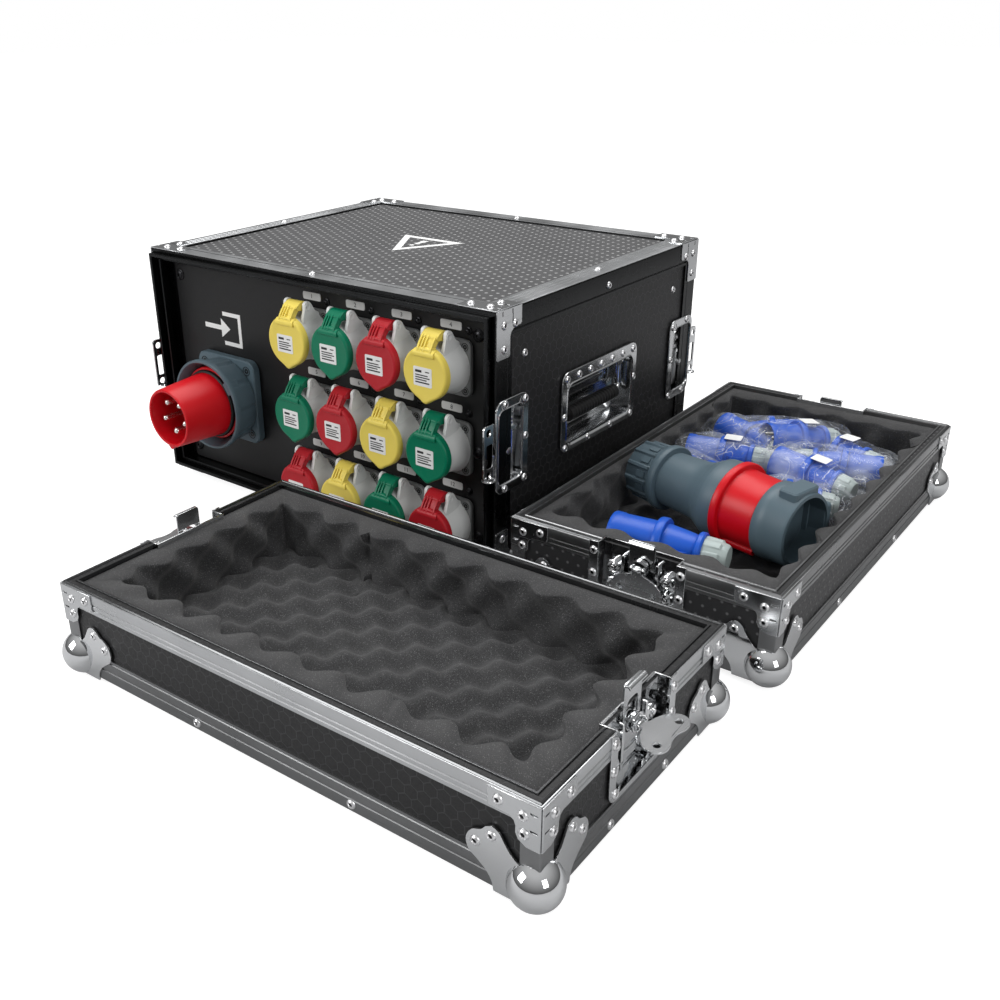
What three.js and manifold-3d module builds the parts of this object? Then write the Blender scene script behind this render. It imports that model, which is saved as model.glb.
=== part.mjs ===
// A portable power distribution box in a flight case, with both lids off and lying beside it.
// Millimetres, +Z up. The model is laid out from the case's front left bottom corner: X runs
// right along the front, Y runs back, and Z is height above the ground. At the end the whole
// layout moves so that its origin is the middle of its footprint, at ground level.
import * as THREE from 'three';
import { mergeVertices } from 'three/addons/utils/BufferGeometryUtils.js';
import Module from 'manifold-3d';

const wasm = await Module();
wasm.setup();

// ---- Driving dimensions -------------------------------------------------------------------

const GAP = 0.3; // clearance between pieces that touch

const CASE = { width: 530, depth: 430, height: 292 };
const FOOT_HEIGHT = 14;
const CASE_TOP = FOOT_HEIGHT + CASE.height;
const PROFILE = { thickness: 2, face: 28 }; // aluminium edge sections
const PANEL_THICKNESS = 9; // laminated board
const RIM_WEB = 3; // the rim section's web over the board's end
const RIM_INNER = 13.6; // from the outside to the rim section's inner leg
const RIM_INNER_LEG = 2;
const RAIL_DEPTH = 60;
const RAIL_WIDTH = 40;
const TONGUE = { inset: 5, thickness: 4, height: 9 };

const RACK = { panelWidth: 482, panelHeight: 262, face: 15, thickness: 3 };
const PANEL_MIDDLE_Z = FOOT_HEIGHT + CASE.height / 2;

const SOCKET = {
  columns: [261.5, 328, 394.5, 461],
  rows: [237.5, 148, 58.5],
  flange: 61,
  flangeThickness: 5.7,
  hole: 23.5,
};
const SOCKET_PIN = { forward: 23, up: 37, radius: 2 }; // from the rack panel and the socket's axis

const INLET = { x: 114, z: 132, width: 101, height: 106, hole: 42 };

const HANDLE = { y: 205.5, z: 162.5, width: 163, height: 95, recessWidth: 140, recessHeight: 76 };
const HANDLE_DEPTH = 28;
const BAIL = { pivotUp: 26, pivotIn: 11, drop: 36, halfWidth: 58 };

const LID = { length: 530, width: 290, bottom: 4, rim: 99, wall: 11 };
const LID_FLOOR = 16;
const BALL = { radius: 29, inset: 21 };
const LATCH = { axisZ: 79, recessHalf: 42, recessDepth: 14, recessBottom: 38, turretRadius: 9 };
const BUTTERFLY = { reach: 30, halfWidth: 26, thickness: 2, hinge: -3 };
const HOOK_TOP = 118; // when raised
const HOOK_TRAVEL = 12;
const FOAM = { wall: 36, endWall: 36, floor: 32, top: 94 };
const REAR_FOAM = { wall: 17, endWall: 34, floor: 26, top: 94 };

const FRONT_LID = { x: 302.7, y: -374.2, yaw: 0.02 };
const REAR_LID = { x: 558, y: -7.7, yaw: 0.0135 };

const BAG_LUMP = { x0: 262, x1: 468, y0: 36, y1: 246, z0: 44, z1: 104 };

// ---- Materials ----------------------------------------------------------------------------

function finish(color, roughness, metalness) {
  return () => new THREE.MeshStandardMaterial({ color, roughness, metalness });
}
const aluminium = finish(0xb4b6b8, 0.4, 0.9);
const laminate = finish(0x1b1b1d, 0.55, 0.0);
const panelPaint = finish(0x1c1c1e, 0.5, 0.2);
const socketGrey = finish(0xc4c6c4, 0.45, 0.0);
const inletGrey = finish(0x5d6d76, 0.45, 0.0);
const inletRed = finish(0xc4161c, 0.4, 0.0);
const nickel = finish(0xd0d0cc, 0.25, 1.0);
const chrome = finish(0xd8d8da, 0.15, 1.0);
const foamGrey = finish(0x3a3a3c, 0.95, 0.0);
const plugBlue = finish(0x1d4fae, 0.4, 0.0);
const breakerGrey = finish(0xd6d6d2, 0.5, 0.0);
const copper = finish(0xb87333, 0.35, 1.0);
const coverColours = {
  yellow: finish(0xe8cf58, 0.4, 0.0),
  green: finish(0x0f7a56, 0.4, 0.0),
  red: finish(0xbf1f25, 0.4, 0.0),
};
const coverRows = [
  ['yellow', 'green', 'red', 'yellow'],
  ['green', 'red', 'yellow', 'green'],
  ['red', 'yellow', 'green', 'red'],
];

// ---- Solids -------------------------------------------------------------------------------

// A closed geometry as a solid that can be joined and cut.
function solidOf(geometry) {
  const g = geometry.index ? geometry.toNonIndexed() : geometry.clone();
  g.deleteAttribute('normal');
  g.deleteAttribute('uv');
  const merged = mergeVertices(g, 1e-4);
  const mesh = new wasm.Mesh({
    numProp: 3,
    vertProperties: new Float32Array(merged.attributes.position.array),
    triVerts: new Uint32Array(merged.index.array),
  });
  return new wasm.Manifold(mesh);
}

function join(first, ...others) {
  return others.reduce((whole, piece) => whole.add(piece), first);
}

function cut(base, ...tools) {
  return tools.reduce((whole, tool) => whole.subtract(tool), base);
}

function geometryOf(solid) {
  const mesh = solid.getMesh();
  const geometry = new THREE.BufferGeometry();
  geometry.setAttribute('position', new THREE.BufferAttribute(new Float32Array(mesh.vertProperties), 3));
  geometry.setIndex(new THREE.BufferAttribute(new Uint32Array(mesh.triVerts), 1));
  geometry.computeVertexNormals();
  return geometry;
}

function node(name, solid, material) {
  const mesh = new THREE.Mesh(geometryOf(solid), material());
  mesh.name = name;
  return mesh;
}

// A block between two corners; the two values of each pair may come in either order.
function block(xs, ys, zs) {
  const size = [xs, ys, zs].map(([a, b]) => Math.abs(b - a));
  const middle = [xs, ys, zs].map(([a, b]) => (a + b) / 2);
  return solidOf(new THREE.BoxGeometry(...size).translate(...middle));
}

// A ring of four walls: the outer rectangle in X and Z less the inner one, from y0 to y1.
function frameRing(ys, outer, inner) {
  const hole = block(
    [outer.x0 + inner, outer.x1 - inner],
    [ys[0] - 1, ys[1] + 1],
    [outer.z0 + inner, outer.z1 - inner],
  );
  return cut(block([outer.x0, outer.x1], ys, [outer.z0, outer.z1]), hole);
}

// A round bar along one axis, from a to b.
function bar(axis, radius, centre, a, b, sides = 24) {
  const g = new THREE.CylinderGeometry(radius, radius, Math.abs(b - a), sides);
  const middle = (a + b) / 2;
  if (axis === 'x') g.rotateZ(Math.PI / 2).translate(middle, centre[0], centre[1]);
  if (axis === 'y') g.translate(centre[0], middle, centre[1]);
  if (axis === 'z') g.rotateX(Math.PI / 2).translate(centre[0], centre[1], middle);
  return solidOf(g);
}

// A turned shape about an axis along Y: points are [radius, y], and they start and end on the
// axis or close on themselves. They may run either way round.
function turnedAboutY(points, sides = 32) {
  const outline = points.map(([r, y]) => new THREE.Vector2(r, y));
  const facesOut = THREE.ShapeUtils.area(outline) > 0;
  return solidOf(new THREE.LatheGeometry(facesOut ? outline : outline.reverse(), sides));
}

// A plate or prism: an outline in two axes, given a thickness along the third.
function prism(axis, outline, a, b) {
  const shape = new THREE.Shape(outline.map(([p, q]) => new THREE.Vector2(p, q)));
  const g = new THREE.ExtrudeGeometry(shape, { depth: Math.abs(b - a), bevelEnabled: false });
  const low = Math.min(a, b);
  if (axis === 'z') g.translate(0, 0, low);
  // The outline is in Y and Z, and the thickness runs along X.
  if (axis === 'x') g.rotateX(Math.PI / 2).rotateZ(Math.PI / 2).translate(low, 0, 0);
  // The outline is in X and Z, and the thickness runs along Y.
  if (axis === 'y') g.rotateX(Math.PI / 2).translate(0, low + Math.abs(b - a), 0);
  return solidOf(g);
}

// A rectangle with round corners, as outline points about its middle.
function roundedRectangle(width, height, radius, steps = 4) {
  const corners = [
    [width / 2 - radius, height / 2 - radius, 0],
    [radius - width / 2, height / 2 - radius, 1],
    [radius - width / 2, radius - height / 2, 2],
    [width / 2 - radius, radius - height / 2, 3],
  ];
  return corners.flatMap(([x, y, quarter]) =>
    Array.from({ length: steps + 1 }, (_, i) => {
      const angle = ((quarter + i / steps) * Math.PI) / 2;
      return [x + radius * Math.cos(angle), y + radius * Math.sin(angle)];
    }),
  );
}

function moved(outline, dx, dy) {
  return outline.map(([x, y]) => [x + dx, y + dy]);
}

// ---- Case frame, with the rack rails and the four latch keepers ----------------------------

const KEEPER = { halfHeight: 52, depth: 58, recessHalf: 42, recessDepth: 14, middleZ: 160 };
const STRIKE = { halfHeight: 31, reach: 18 };

// One keeper: a dished plate at the case's edge and a strike plate with a window and two holes
// that reaches past the edge. side is -1 on the left and 1 on the right; end is 0 at the front
// and 1 at the rear.
function keeperSolids(side, end) {
  const outer = side > 0 ? CASE.width : 0;
  const edge = end ? CASE.depth : 0;
  const inward = end ? -1 : 1;
  const x = (d) => outer + side * d;
  const y = (d) => edge + inward * d;
  const z = (d) => KEEPER.middleZ + d;
  const plate = block([x(-2), x(1.2)], [y(0), y(KEEPER.depth)], [z(-KEEPER.halfHeight), z(KEEPER.halfHeight)]);
  const pan = block(
    [x(-KEEPER.recessDepth - 1.5), x(0)],
    [y(0), y(KEEPER.depth - 7)],
    [z(-KEEPER.recessHalf - 1.5), z(KEEPER.recessHalf + 1.5)],
  );
  const hollow = block(
    [x(-KEEPER.recessDepth), x(3)],
    [y(RIM_WEB), y(KEEPER.depth - 8.5)],
    [z(-KEEPER.recessHalf), z(KEEPER.recessHalf)],
  );
  const strike = cut(
    block([x(-3), x(-1)], [y(-STRIKE.reach), y(12)], [z(-STRIKE.halfHeight), z(STRIKE.halfHeight)]),
    block([x(-4), x(0)], [y(-STRIKE.reach + 3), y(-2)], [z(-12), z(12)]),
    bar('x', 4.5, [y(-9), z(22)], x(-4), x(0), 10),
    bar('x', 4.5, [y(-9), z(-22)], x(-4), x(0), 10),
  );
  return { plate, pan, hollow, strike };
}

function caseFrame() {
  const outer = { x0: 0, x1: CASE.width, z0: FOOT_HEIGHT, z1: CASE_TOP };
  const shrink = (r, d) => ({ x0: r.x0 + d, x1: r.x1 - d, z0: r.z0 + d, z1: r.z1 - d });
  const t = PROFILE.thickness;
  const f = PROFILE.face;
  const skin = cut(
    frameRing([0, CASE.depth], outer, t),
    block([f, CASE.width - f], [f, CASE.depth - f], [FOOT_HEIGHT - 1, CASE_TOP + 1]),
    block([-1, CASE.width + 1], [f, CASE.depth - f], [FOOT_HEIGHT + f, CASE_TOP - f]),
  );
  const ends = [
    { web: [0, RIM_WEB], leg: [0, RAIL_DEPTH], rail: RACK.face + RACK.thickness + GAP, tongue: -1 },
    { web: [CASE.depth - RIM_WEB, CASE.depth], leg: [CASE.depth - RAIL_DEPTH, CASE.depth], tongue: 1 },
  ];
  ends[1].rail = CASE.depth - ends[0].rail - RIM_INNER_LEG;
  const pieces = [];
  for (const end of ends) {
    pieces.push(frameRing(end.web, outer, RIM_INNER));
    pieces.push(frameRing(end.leg, shrink(outer, RIM_INNER - RIM_INNER_LEG), RIM_INNER_LEG));
    const tongueBase = end.tongue < 0 ? [-TONGUE.height, 1] : [CASE.depth - 1, CASE.depth + TONGUE.height];
    pieces.push(frameRing(tongueBase, shrink(outer, TONGUE.inset), TONGUE.thickness));
    for (const [a, b] of [
      [RIM_INNER - RIM_INNER_LEG, RAIL_WIDTH],
      [CASE.width - RAIL_WIDTH, CASE.width - RIM_INNER + RIM_INNER_LEG],
    ]) {
      pieces.push(block([a, b], [end.rail, end.rail + RIM_INNER_LEG], [29, CASE_TOP - 15]));
    }
  }
  let frame = join(skin, ...pieces);
  for (const side of [-1, 1]) {
    for (const end of [0, 1]) {
      const k = keeperSolids(side, end);
      frame = join(cut(join(frame, k.plate, k.pan), k.hollow), k.strike);
    }
  }
  return node('case_frame', frame, aluminium);
}

// ---- Panels -------------------------------------------------------------------------------

const BOARD_OUT = PROFILE.thickness + GAP; // the board's face, from the outside of the frame
const BOARD_IN = BOARD_OUT + PANEL_THICKNESS;
const BOARD_Y = [RIM_WEB + GAP, CASE.depth - RIM_WEB - GAP];

function flatBoard(zs) {
  return block([BOARD_OUT, CASE.width - BOARD_OUT], BOARD_Y, zs);
}

function topPanel() {
  return node('top_panel', flatBoard([CASE_TOP - BOARD_IN, CASE_TOP - BOARD_OUT]), laminate);
}

// The bottom board and its four rubber feet.
function bottomPanel() {
  let board = flatBoard([FOOT_HEIGHT + BOARD_OUT, FOOT_HEIGHT + BOARD_IN]);
  for (const x of [58, CASE.width - 58]) {
    for (const y of [52, CASE.depth - 52]) {
      board = join(board, bar('z', 17, [x, y], 0, FOOT_HEIGHT + BOARD_OUT + 1, 20));
    }
  }
  return node('bottom_panel', board, laminate);
}

function sidePanel(name, side) {
  const outer = side > 0 ? CASE.width : 0;
  const x = (d) => outer - side * d;
  const zs = [FOOT_HEIGHT + BOARD_IN + GAP, CASE_TOP - BOARD_IN - GAP];
  let board = block([x(BOARD_OUT), x(BOARD_IN)], BOARD_Y, zs);
  const clear = 2;
  board = cut(
    board,
    block(
      [x(-5), x(20)],
      [HANDLE.y - HANDLE.recessWidth / 2 - clear, HANDLE.y + HANDLE.recessWidth / 2 + clear],
      [HANDLE.z - HANDLE.recessHeight / 2 - clear, HANDLE.z + HANDLE.recessHeight / 2 + clear],
    ),
  );
  for (const ys of [
    [-5, KEEPER.depth - 6],
    [CASE.depth - KEEPER.depth + 6, CASE.depth + 5],
  ]) {
    const half = KEEPER.recessHalf + 2;
    board = cut(board, block([x(-5), x(20)], ys, [KEEPER.middleZ - half, KEEPER.middleZ + half]));
  }
  return node(name, board, laminate);
}

// ---- Rack panels and what is behind them ----------------------------------------------------

function rackPanelBlank(y) {
  const outline = moved(roundedRectangle(RACK.panelWidth, RACK.panelHeight, 2, 1), CASE.width / 2, PANEL_MIDDLE_Z);
  return prism('y', outline, y, y + RACK.thickness);
}

function frontRackPanel() {
  const y = RACK.face;
  const holes = SOCKET.columns.flatMap((x) =>
    SOCKET.rows.map((z) => bar('y', SOCKET.hole, [x, z], y - 5, y + 8, 12)),
  );
  const inletHole = bar('y', INLET.hole, [INLET.x, INLET.z], y - 5, y + 8, 24);
  return node('front_rack_panel', cut(rackPanelBlank(y), ...holes, inletHole), panelPaint);
}

const BREAKERS = { x0: 100, x1: 430, z: 170, height: 84, depth: 62 };

// The rear panel has one wide window, through which the breaker bank's fronts can be reached.
function rearRackPanel() {
  const y = CASE.depth - RACK.face - RACK.thickness;
  const window = block([BREAKERS.x0 - 1, BREAKERS.x1 + 1], [y - 5, y + 8], [BREAKERS.z - 24, BREAKERS.z + 24]);
  return node('rear_rack_panel', cut(rackPanelBlank(y), window), panelPaint);
}

// The breakers on their rail: one row of modules whose noses come through the rear panel.
function breakerBank() {
  const y = CASE.depth - RACK.face - RACK.thickness;
  const middle = (BREAKERS.x0 + BREAKERS.x1) / 2;
  const half = BREAKERS.height / 2;
  const body = block([BREAKERS.x0, BREAKERS.x1], [y - BREAKERS.depth, y - 2], [BREAKERS.z - half, BREAKERS.z + half]);
  const nose = block([BREAKERS.x0, BREAKERS.x1], [y - 4, y + 6], [BREAKERS.z - 22.5, BREAKERS.z + 22.5]);
  const rail = block([middle - 200, middle + 200], [y - 70, y - 60], [BREAKERS.z - 17, BREAKERS.z + 17]);
  return node('breaker_bank', join(body, nose, rail), breakerGrey);
}

// The terminal block between the inlet and the breakers: a base with five bars.
function terminalBlock() {
  let base = block([90, 230], [150, 200], [FOOT_HEIGHT + BOARD_IN + GAP, 48]);
  for (let i = 0; i < 5; i += 1) {
    const x = 106 + i * 27;
    base = join(base, block([x - 6, x + 6], [156, 194], [47, 62]));
  }
  return node('terminal_block', base, copper);
}

// ---- Outlet sockets -------------------------------------------------------------------------

// Local frame: the rack panel's face is y = 0 and the socket's axis is the Y axis through the origin.
const EAR = { inner: 12.6, outer: 16.6 };

function socketHousing() {
  const half = SOCKET.flangeThickness + GAP;
  const flange = prism('y', roundedRectangle(SOCKET.flange, SOCKET.flange, 6, 2), -half, -GAP);
  const body = turnedAboutY(
    [
      [0, 30], [22, 30], [22, -2], [28, -5.8], [25.4, -14],
      [25.8, -35], [20.5, -35], [20.5, -12], [0, -12],
    ],
    14,
  );
  const p = [-SOCKET_PIN.forward, SOCKET_PIN.up];
  const tip = Array.from({ length: 5 }, (_, i) => {
    const angle = Math.PI * (1.02 - 0.98 * (i / 4));
    return [p[0] + 6 * Math.cos(angle), p[1] + 6 * Math.sin(angle)];
  });
  const earOutline = [[-4, 29], [-4, 17], [-31, 18], ...tip];
  const ears = [-1, 1].map((s) => prism('x', earOutline, s * EAR.inner, s * EAR.outer));
  const pin = bar('x', SOCKET_PIN.radius, p, -EAR.inner - 1, EAR.inner + 1, 8);
  return join(flange, body, ...ears, pin);
}

// The round flip cover with its pointed tab and its arm up to the pin.
function socketCover() {
  const front = -44;
  const back = -35.4;
  const disc = turnedAboutY([[0, front], [26.5, front], [28.5, front + 2], [28.5, back], [0, back]], 16);
  const lip = prism('y', [[-9, -26], [9, -26], [0, -30.5]], front + 1, back);
  const p = [-SOCKET_PIN.forward, SOCKET_PIN.up];
  const arm = prism(
    'x',
    [[front, 22], [back, 22], [back, 27], [p[0] - 2, p[1] - 5], [p[0], p[1] + 5.4], [p[0] - 6, p[1] + 4], [front + 2, 27]],
    -11,
    11,
  );
  const barrel = bar('x', 5.6, p, -11, 11, 10);
  const bore = bar('x', SOCKET_PIN.radius + GAP, p, -13, 13, 8);
  return cut(join(disc, lip, arm, barrel), bore);
}

function sockets() {
  const group = new THREE.Group();
  const housing = geometryOf(socketHousing());
  const cover = geometryOf(socketCover());
  let number = 0;
  SOCKET.rows.forEach((z, row) => {
    SOCKET.columns.forEach((x, column) => {
      number += 1;
      const place = new THREE.Group();
      place.position.set(x, RACK.face, z);
      const body = new THREE.Mesh(housing, socketGrey());
      body.name = `socket_housing_${number}`;
      const lid = new THREE.Mesh(cover, coverColours[coverRows[row][column]]());
      lid.name = `socket_cover_${number}`;
      place.add(body, lid);
      group.add(place);
    });
  });
  return group;
}

// ---- Inlet ----------------------------------------------------------------------------------

// Local frame as for the sockets: the rack panel's face is y = 0.
function inlet() {
  const place = new THREE.Group();
  place.position.set(INLET.x, RACK.face, INLET.z);
  const flange = prism('y', roundedRectangle(INLET.width, INLET.height, 12, 4), -11, -GAP);
  const body = turnedAboutY([[0, 55], [36, 55], [40.5, 40], [40.5, -5], [46, -10], [46, -19], [0, -19]], 24);
  place.add(node('inlet_housing', join(flange, body), inletGrey));
  const ring = turnedAboutY(
    [
      [46.6, -11.4], [51, -11.4], [54, -40], [56.5, -42], [56.5, -48],
      [52.5, -48], [49.5, -40], [46.6, -30], [46.6, -11.4],
    ],
    28,
  );
  place.add(node('inlet_locking_ring', ring, inletGrey));
  const sleeve = turnedAboutY(
    [[0, -19.3], [44, -19.3], [44, -26], [40, -28], [35.5, -107], [31.5, -107], [34, -32], [0, -32]],
    28,
  );
  const key = block([-5, 5], [-107, -60], [-38.5, -33]);
  place.add(node('inlet_sleeve', join(sleeve, key), inletRed));
  let contacts = bar('y', 30, [0, 0], -38, -32.3, 20);
  for (let i = 0; i < 5; i += 1) {
    const angle = -Math.PI / 2 + (i * 2 * Math.PI) / 5;
    const at = [19 * Math.cos(angle), 19 * Math.sin(angle)];
    contacts = join(contacts, bar('y', i ? 4 : 5, at, -90, -37, 8));
  }
  place.add(node('inlet_contacts', contacts, nickel));
  return place;
}

// ---- Side handles ---------------------------------------------------------------------------

// Local frame: +X points out of the case side, whose outer plane is x = 0; the middle is the origin.
function handleDish() {
  const out = 1.2 - BOARD_OUT;
  const plate = prism('x', roundedRectangle(HANDLE.width, HANDLE.height, 12, 4), -BOARD_OUT + GAP, out + GAP);
  const w = HANDLE.recessWidth / 2;
  const h = HANDLE.recessHeight / 2;
  const pan = block([-HANDLE_DEPTH - 1.5, out], [-w - 1.5, w + 1.5], [-h - 1.5, h + 1.5]);
  const hollow = block([-HANDLE_DEPTH, 5], [-w, w], [-h, h]);
  const dish = cut(join(plate, pan), hollow);
  const pins = [-1, 1].map((s) =>
    bar('y', 3, [-BAIL.pivotIn, BAIL.pivotUp], s * (BAIL.halfWidth - 1), s * (w + 1), 10),
  );
  return join(dish, ...pins);
}

// The bail: two flat arms with a rubber grip between them.
function handleBail() {
  const x = -BAIL.pivotIn;
  const top = BAIL.pivotUp;
  const low = top - BAIL.drop;
  const arms = [-1, 1].map((s) => {
    const a = s * (BAIL.halfWidth + 1);
    const b = s * (BAIL.halfWidth + 5);
    return join(
      block([x - 6, x + 6], [a, b], [low, top]),
      bar('y', 6, [x, top], a, b, 14),
      bar('y', 6, [x, low], a, b, 14),
    );
  });
  const grip = bar('y', 9, [x, low], -BAIL.halfWidth - 2, BAIL.halfWidth + 2, 16);
  const eye = bar('y', 3 + GAP, [x, top], -HANDLE.width, HANDLE.width, 10);
  return cut(join(grip, ...arms), eye);
}

function handle(name, side) {
  const place = new THREE.Group();
  place.position.set(side > 0 ? CASE.width : 0, HANDLE.y, HANDLE.z);
  place.rotation.z = side > 0 ? 0 : Math.PI;
  place.add(node(`${name}_handle_dish`, handleDish(), chrome), node(`${name}_handle_bail`, handleBail(), chrome));
  return place;
}

// ---- Lids -----------------------------------------------------------------------------------

// Local frame of a lid lying open side up: X along its long side, Y along its short side.
// A latch's frame has +X pointing out of the end wall, whose outer plane is x = 0.
const LATCH_PLACES = [
  { x: 0, turn: Math.PI },
  { x: LID.length, turn: 0 },
];

// An end wall's latch dish: the plate, the pan behind it, and the hollow that opens at the rim.
function latchDish(place) {
  const sign = place.turn ? -1 : 1;
  const x = (d) => place.x + sign * d;
  const middle = LID.width / 2;
  const y = (d) => middle + d;
  const half = LATCH.recessHalf;
  const plate = block([x(-2), x(1.2)], [y(-half - 10), y(half + 10)], [LATCH.recessBottom - 5, LID.rim]);
  const pan = block(
    [x(-LATCH.recessDepth - 1.5), x(0)],
    [y(-half - 1.5), y(half + 1.5)],
    [LATCH.recessBottom - 1.5, LID.rim],
  );
  const hollow = block(
    [x(-LATCH.recessDepth), x(5)],
    [y(-half), y(half)],
    [LATCH.recessBottom, LID.rim + 5],
  );
  return { plate, pan, hollow };
}

function lidShell(name) {
  const t = 1.5;
  const tray = block([t, LID.length - t], [t, LID.width - t], [LID.bottom + t, LID.rim]);
  const edge = (zs) => block([0, LID.length], [0, LID.width], zs);
  const inner = block(
    [LID.wall, LID.length - LID.wall],
    [LID.wall, LID.width - LID.wall],
    [LID_FLOOR, LID.rim + 5],
  );
  const groove = cut(
    block([4, LID.length - 4], [4, LID.width - 4], [LID.rim - 8, LID.rim + 5]),
    block([9.5, LID.length - 9.5], [9.5, LID.width - 9.5], [LID.rim - 9, LID.rim + 6]),
  );
  let shell = join(tray, edge([LID.rim - 22, LID.rim]), edge([LID.bottom, LID.bottom + 28]));
  for (const x of [BALL.inset, LID.length - BALL.inset]) {
    for (const y of [BALL.inset, LID.width - BALL.inset]) {
      const ball = new THREE.SphereGeometry(BALL.radius, 10, 6).rotateX(Math.PI / 2);
      shell = join(shell, solidOf(ball.translate(x, y, BALL.radius)));
    }
  }
  shell = cut(shell, inner, groove);
  for (const place of LATCH_PLACES) {
    const d = latchDish(place);
    shell = cut(join(shell, d.plate, d.pan), d.hollow);
  }
  return node(name, shell, aluminium);
}

// A tray of acoustic foam that lines the lid, notched behind the two latch dishes.
function lidFoam(name, foam) {
  const inset = LID.wall + GAP;
  const outside = block([inset, LID.length - inset], [inset, LID.width - inset], [LID_FLOOR + GAP, foam.top]);
  const inside = block(
    [inset + foam.endWall, LID.length - inset - foam.endWall],
    [inset + foam.wall, LID.width - inset - foam.wall],
    [LID_FLOOR + foam.floor, foam.top + 5],
  );
  const notches = LATCH_PLACES.map((place) => {
    const inner = place.turn ? LATCH.recessDepth + 2 : LID.length - LATCH.recessDepth - 2;
    const half = LATCH.recessHalf + 2;
    return block(
      [place.turn ? 0 : LID.length, inner],
      [LID.width / 2 - half, LID.width / 2 + half],
      [LATCH.recessBottom - 3, foam.top + 5],
    );
  });
  return node(name, cut(outside, inside, ...notches), foamGrey);
}

// The turret turns in the dish floor and carries the butterfly between two lugs.
function latchTurret() {
  const axis = [0, LATCH.axisZ];
  const post = bar('x', LATCH.turretRadius, axis, -LATCH.recessDepth + GAP, -6.2, 14);
  const lugs = [-1, 1].map((s) => block([-7, -0.5], [s * 5.3, s * 7.6], [LATCH.axisZ - 2.5, LATCH.axisZ + 2.5]));
  return join(post, ...lugs);
}

// The butterfly, about its hinge: a thin plate with two lobes, each with a hole, on a barrel.
function latchButterfly() {
  const r = BUTTERFLY.reach;
  const w = BUTTERFLY.halfWidth;
  const lobe = 9;
  const arc = (cx, cy, from, to) =>
    Array.from({ length: 5 }, (_, i) => {
      const angle = from + ((to - from) * i) / 4;
      return [cx + lobe * Math.cos(angle), cy + lobe * Math.sin(angle)];
    });
  const tip = r - lobe;
  const outline = [
    [4, -12],
    ...arc(tip, -w + lobe, -Math.PI * 0.75, Math.PI * 0.15),
    [r - 3, 0],
    ...arc(tip, w - lobe, -Math.PI * 0.15, Math.PI * 0.75),
    [4, 12],
  ];
  const half = BUTTERFLY.thickness / 2;
  const plate = prism('z', outline, -half, half);
  const neck = block([0, 6], [-4.9, 4.9], [-half, half]);
  const barrel = bar('y', 2.2, [0, 0], -4.9, 4.9, 8);
  const holes = [-1, 1].map((s) => bar('z', 3.2, [tip + 1, s * (w - lobe)], -5, 5, 10));
  return cut(join(plate, neck, barrel), ...holes);
}

// The hook: a strap with a window round the turret and a lip bent outwards at its top.
function latchHook() {
  const x0 = -12.5;
  const strap = cut(
    block([x0, x0 + 2], [-14, 14], [LATCH.recessBottom + 20, HOOK_TOP]),
    block([x0 - 2, x0 + 4], [-LATCH.turretRadius - GAP, LATCH.turretRadius + GAP], [
      LATCH.axisZ - LATCH.turretRadius - 1,
      LATCH.axisZ + LATCH.turretRadius + HOOK_TRAVEL + 1,
    ]),
  );
  const lip = block([x0, x0 + 6.5], [-14, 14], [HOOK_TOP - 2, HOOK_TOP]);
  return join(strap, lip);
}

// A lid with its foam and its two latches. Open latches have the butterfly out and the hook
// raised; shut ones have the butterfly folded into the dish and the hook drawn down.
function lid(name, foam, ends, open) {
  const group = new THREE.Group();
  group.add(lidShell(`${name}_lid_shell`), lidFoam(`${name}_lid_foam`, foam));
  LATCH_PLACES.forEach((place, i) => {
    const latch = new THREE.Group();
    latch.position.set(place.x, LID.width / 2, 0);
    latch.rotation.z = place.turn;
    const prefix = `${name}_lid_${ends[i]}`;
    const butterfly = new THREE.Group();
    butterfly.position.set(BUTTERFLY.hinge, 0, LATCH.axisZ);
    butterfly.rotation.y = open ? 0 : Math.PI / 2;
    butterfly.add(node(`${prefix}_butterfly`, latchButterfly(), chrome));
    const hook = node(`${prefix}_hook`, latchHook(), chrome);
    hook.position.z = open ? 0 : -HOOK_TRAVEL;
    latch.add(node(`${prefix}_turret`, latchTurret(), chrome), butterfly, hook);
    group.add(latch);
  });
  return group;
}

// ---- Loose connectors in the rear lid ---------------------------------------------------------

// Each lies along its own Y axis, at z = 0.
function spareConnector() {
  return turnedAboutY(
    [
      [0, -110], [34, -110], [36, -96], [30, -88], [36, -60], [42, -46], [46, -8], [46, 22],
      [44, 26], [46, 30], [46, 62], [42, 66], [42, 110], [38, 110], [38, 84], [0, 84],
    ],
    18,
  );
}

function sparePlug() {
  return turnedAboutY(
    [
      [0, -62], [15, -62], [18, -40], [16, -34], [19, -28], [27, -4], [29, 2], [29, 14],
      [25, 18], [25, 62], [22, 62], [22, 40], [0, 40],
    ],
    16,
  );
}

// One closed form over the heap of bagged plugs, higher in its middle.
function bagLump() {
  const b = BAG_LUMP;
  const outline = [
    [b.x0, b.z0], [b.x1, b.z0], [b.x1, b.z0 + 30], [b.x1 - 40, b.z1 - 6],
    [b.x0 + 90, b.z1], [b.x0 + 30, b.z1 - 8], [b.x0, b.z0 + 32],
  ];
  return prism('y', outline, b.y0, b.y1);
}

// Turns a piece that lies along Y to lie along a direction on the lid's floor.
function laid(mesh, x, y, z, angle) {
  mesh.position.set(x, y, z);
  mesh.rotation.z = angle;
  return mesh;
}

// ---- The whole layout -------------------------------------------------------------------------

const layout = new THREE.Group();
layout.add(caseFrame(), topPanel(), bottomPanel(), sidePanel('left_panel', -1), sidePanel('right_panel', 1));
layout.add(frontRackPanel(), rearRackPanel(), breakerBank(), terminalBlock());
layout.add(sockets(), inlet(), handle('left', -1), handle('right', 1));

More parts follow.
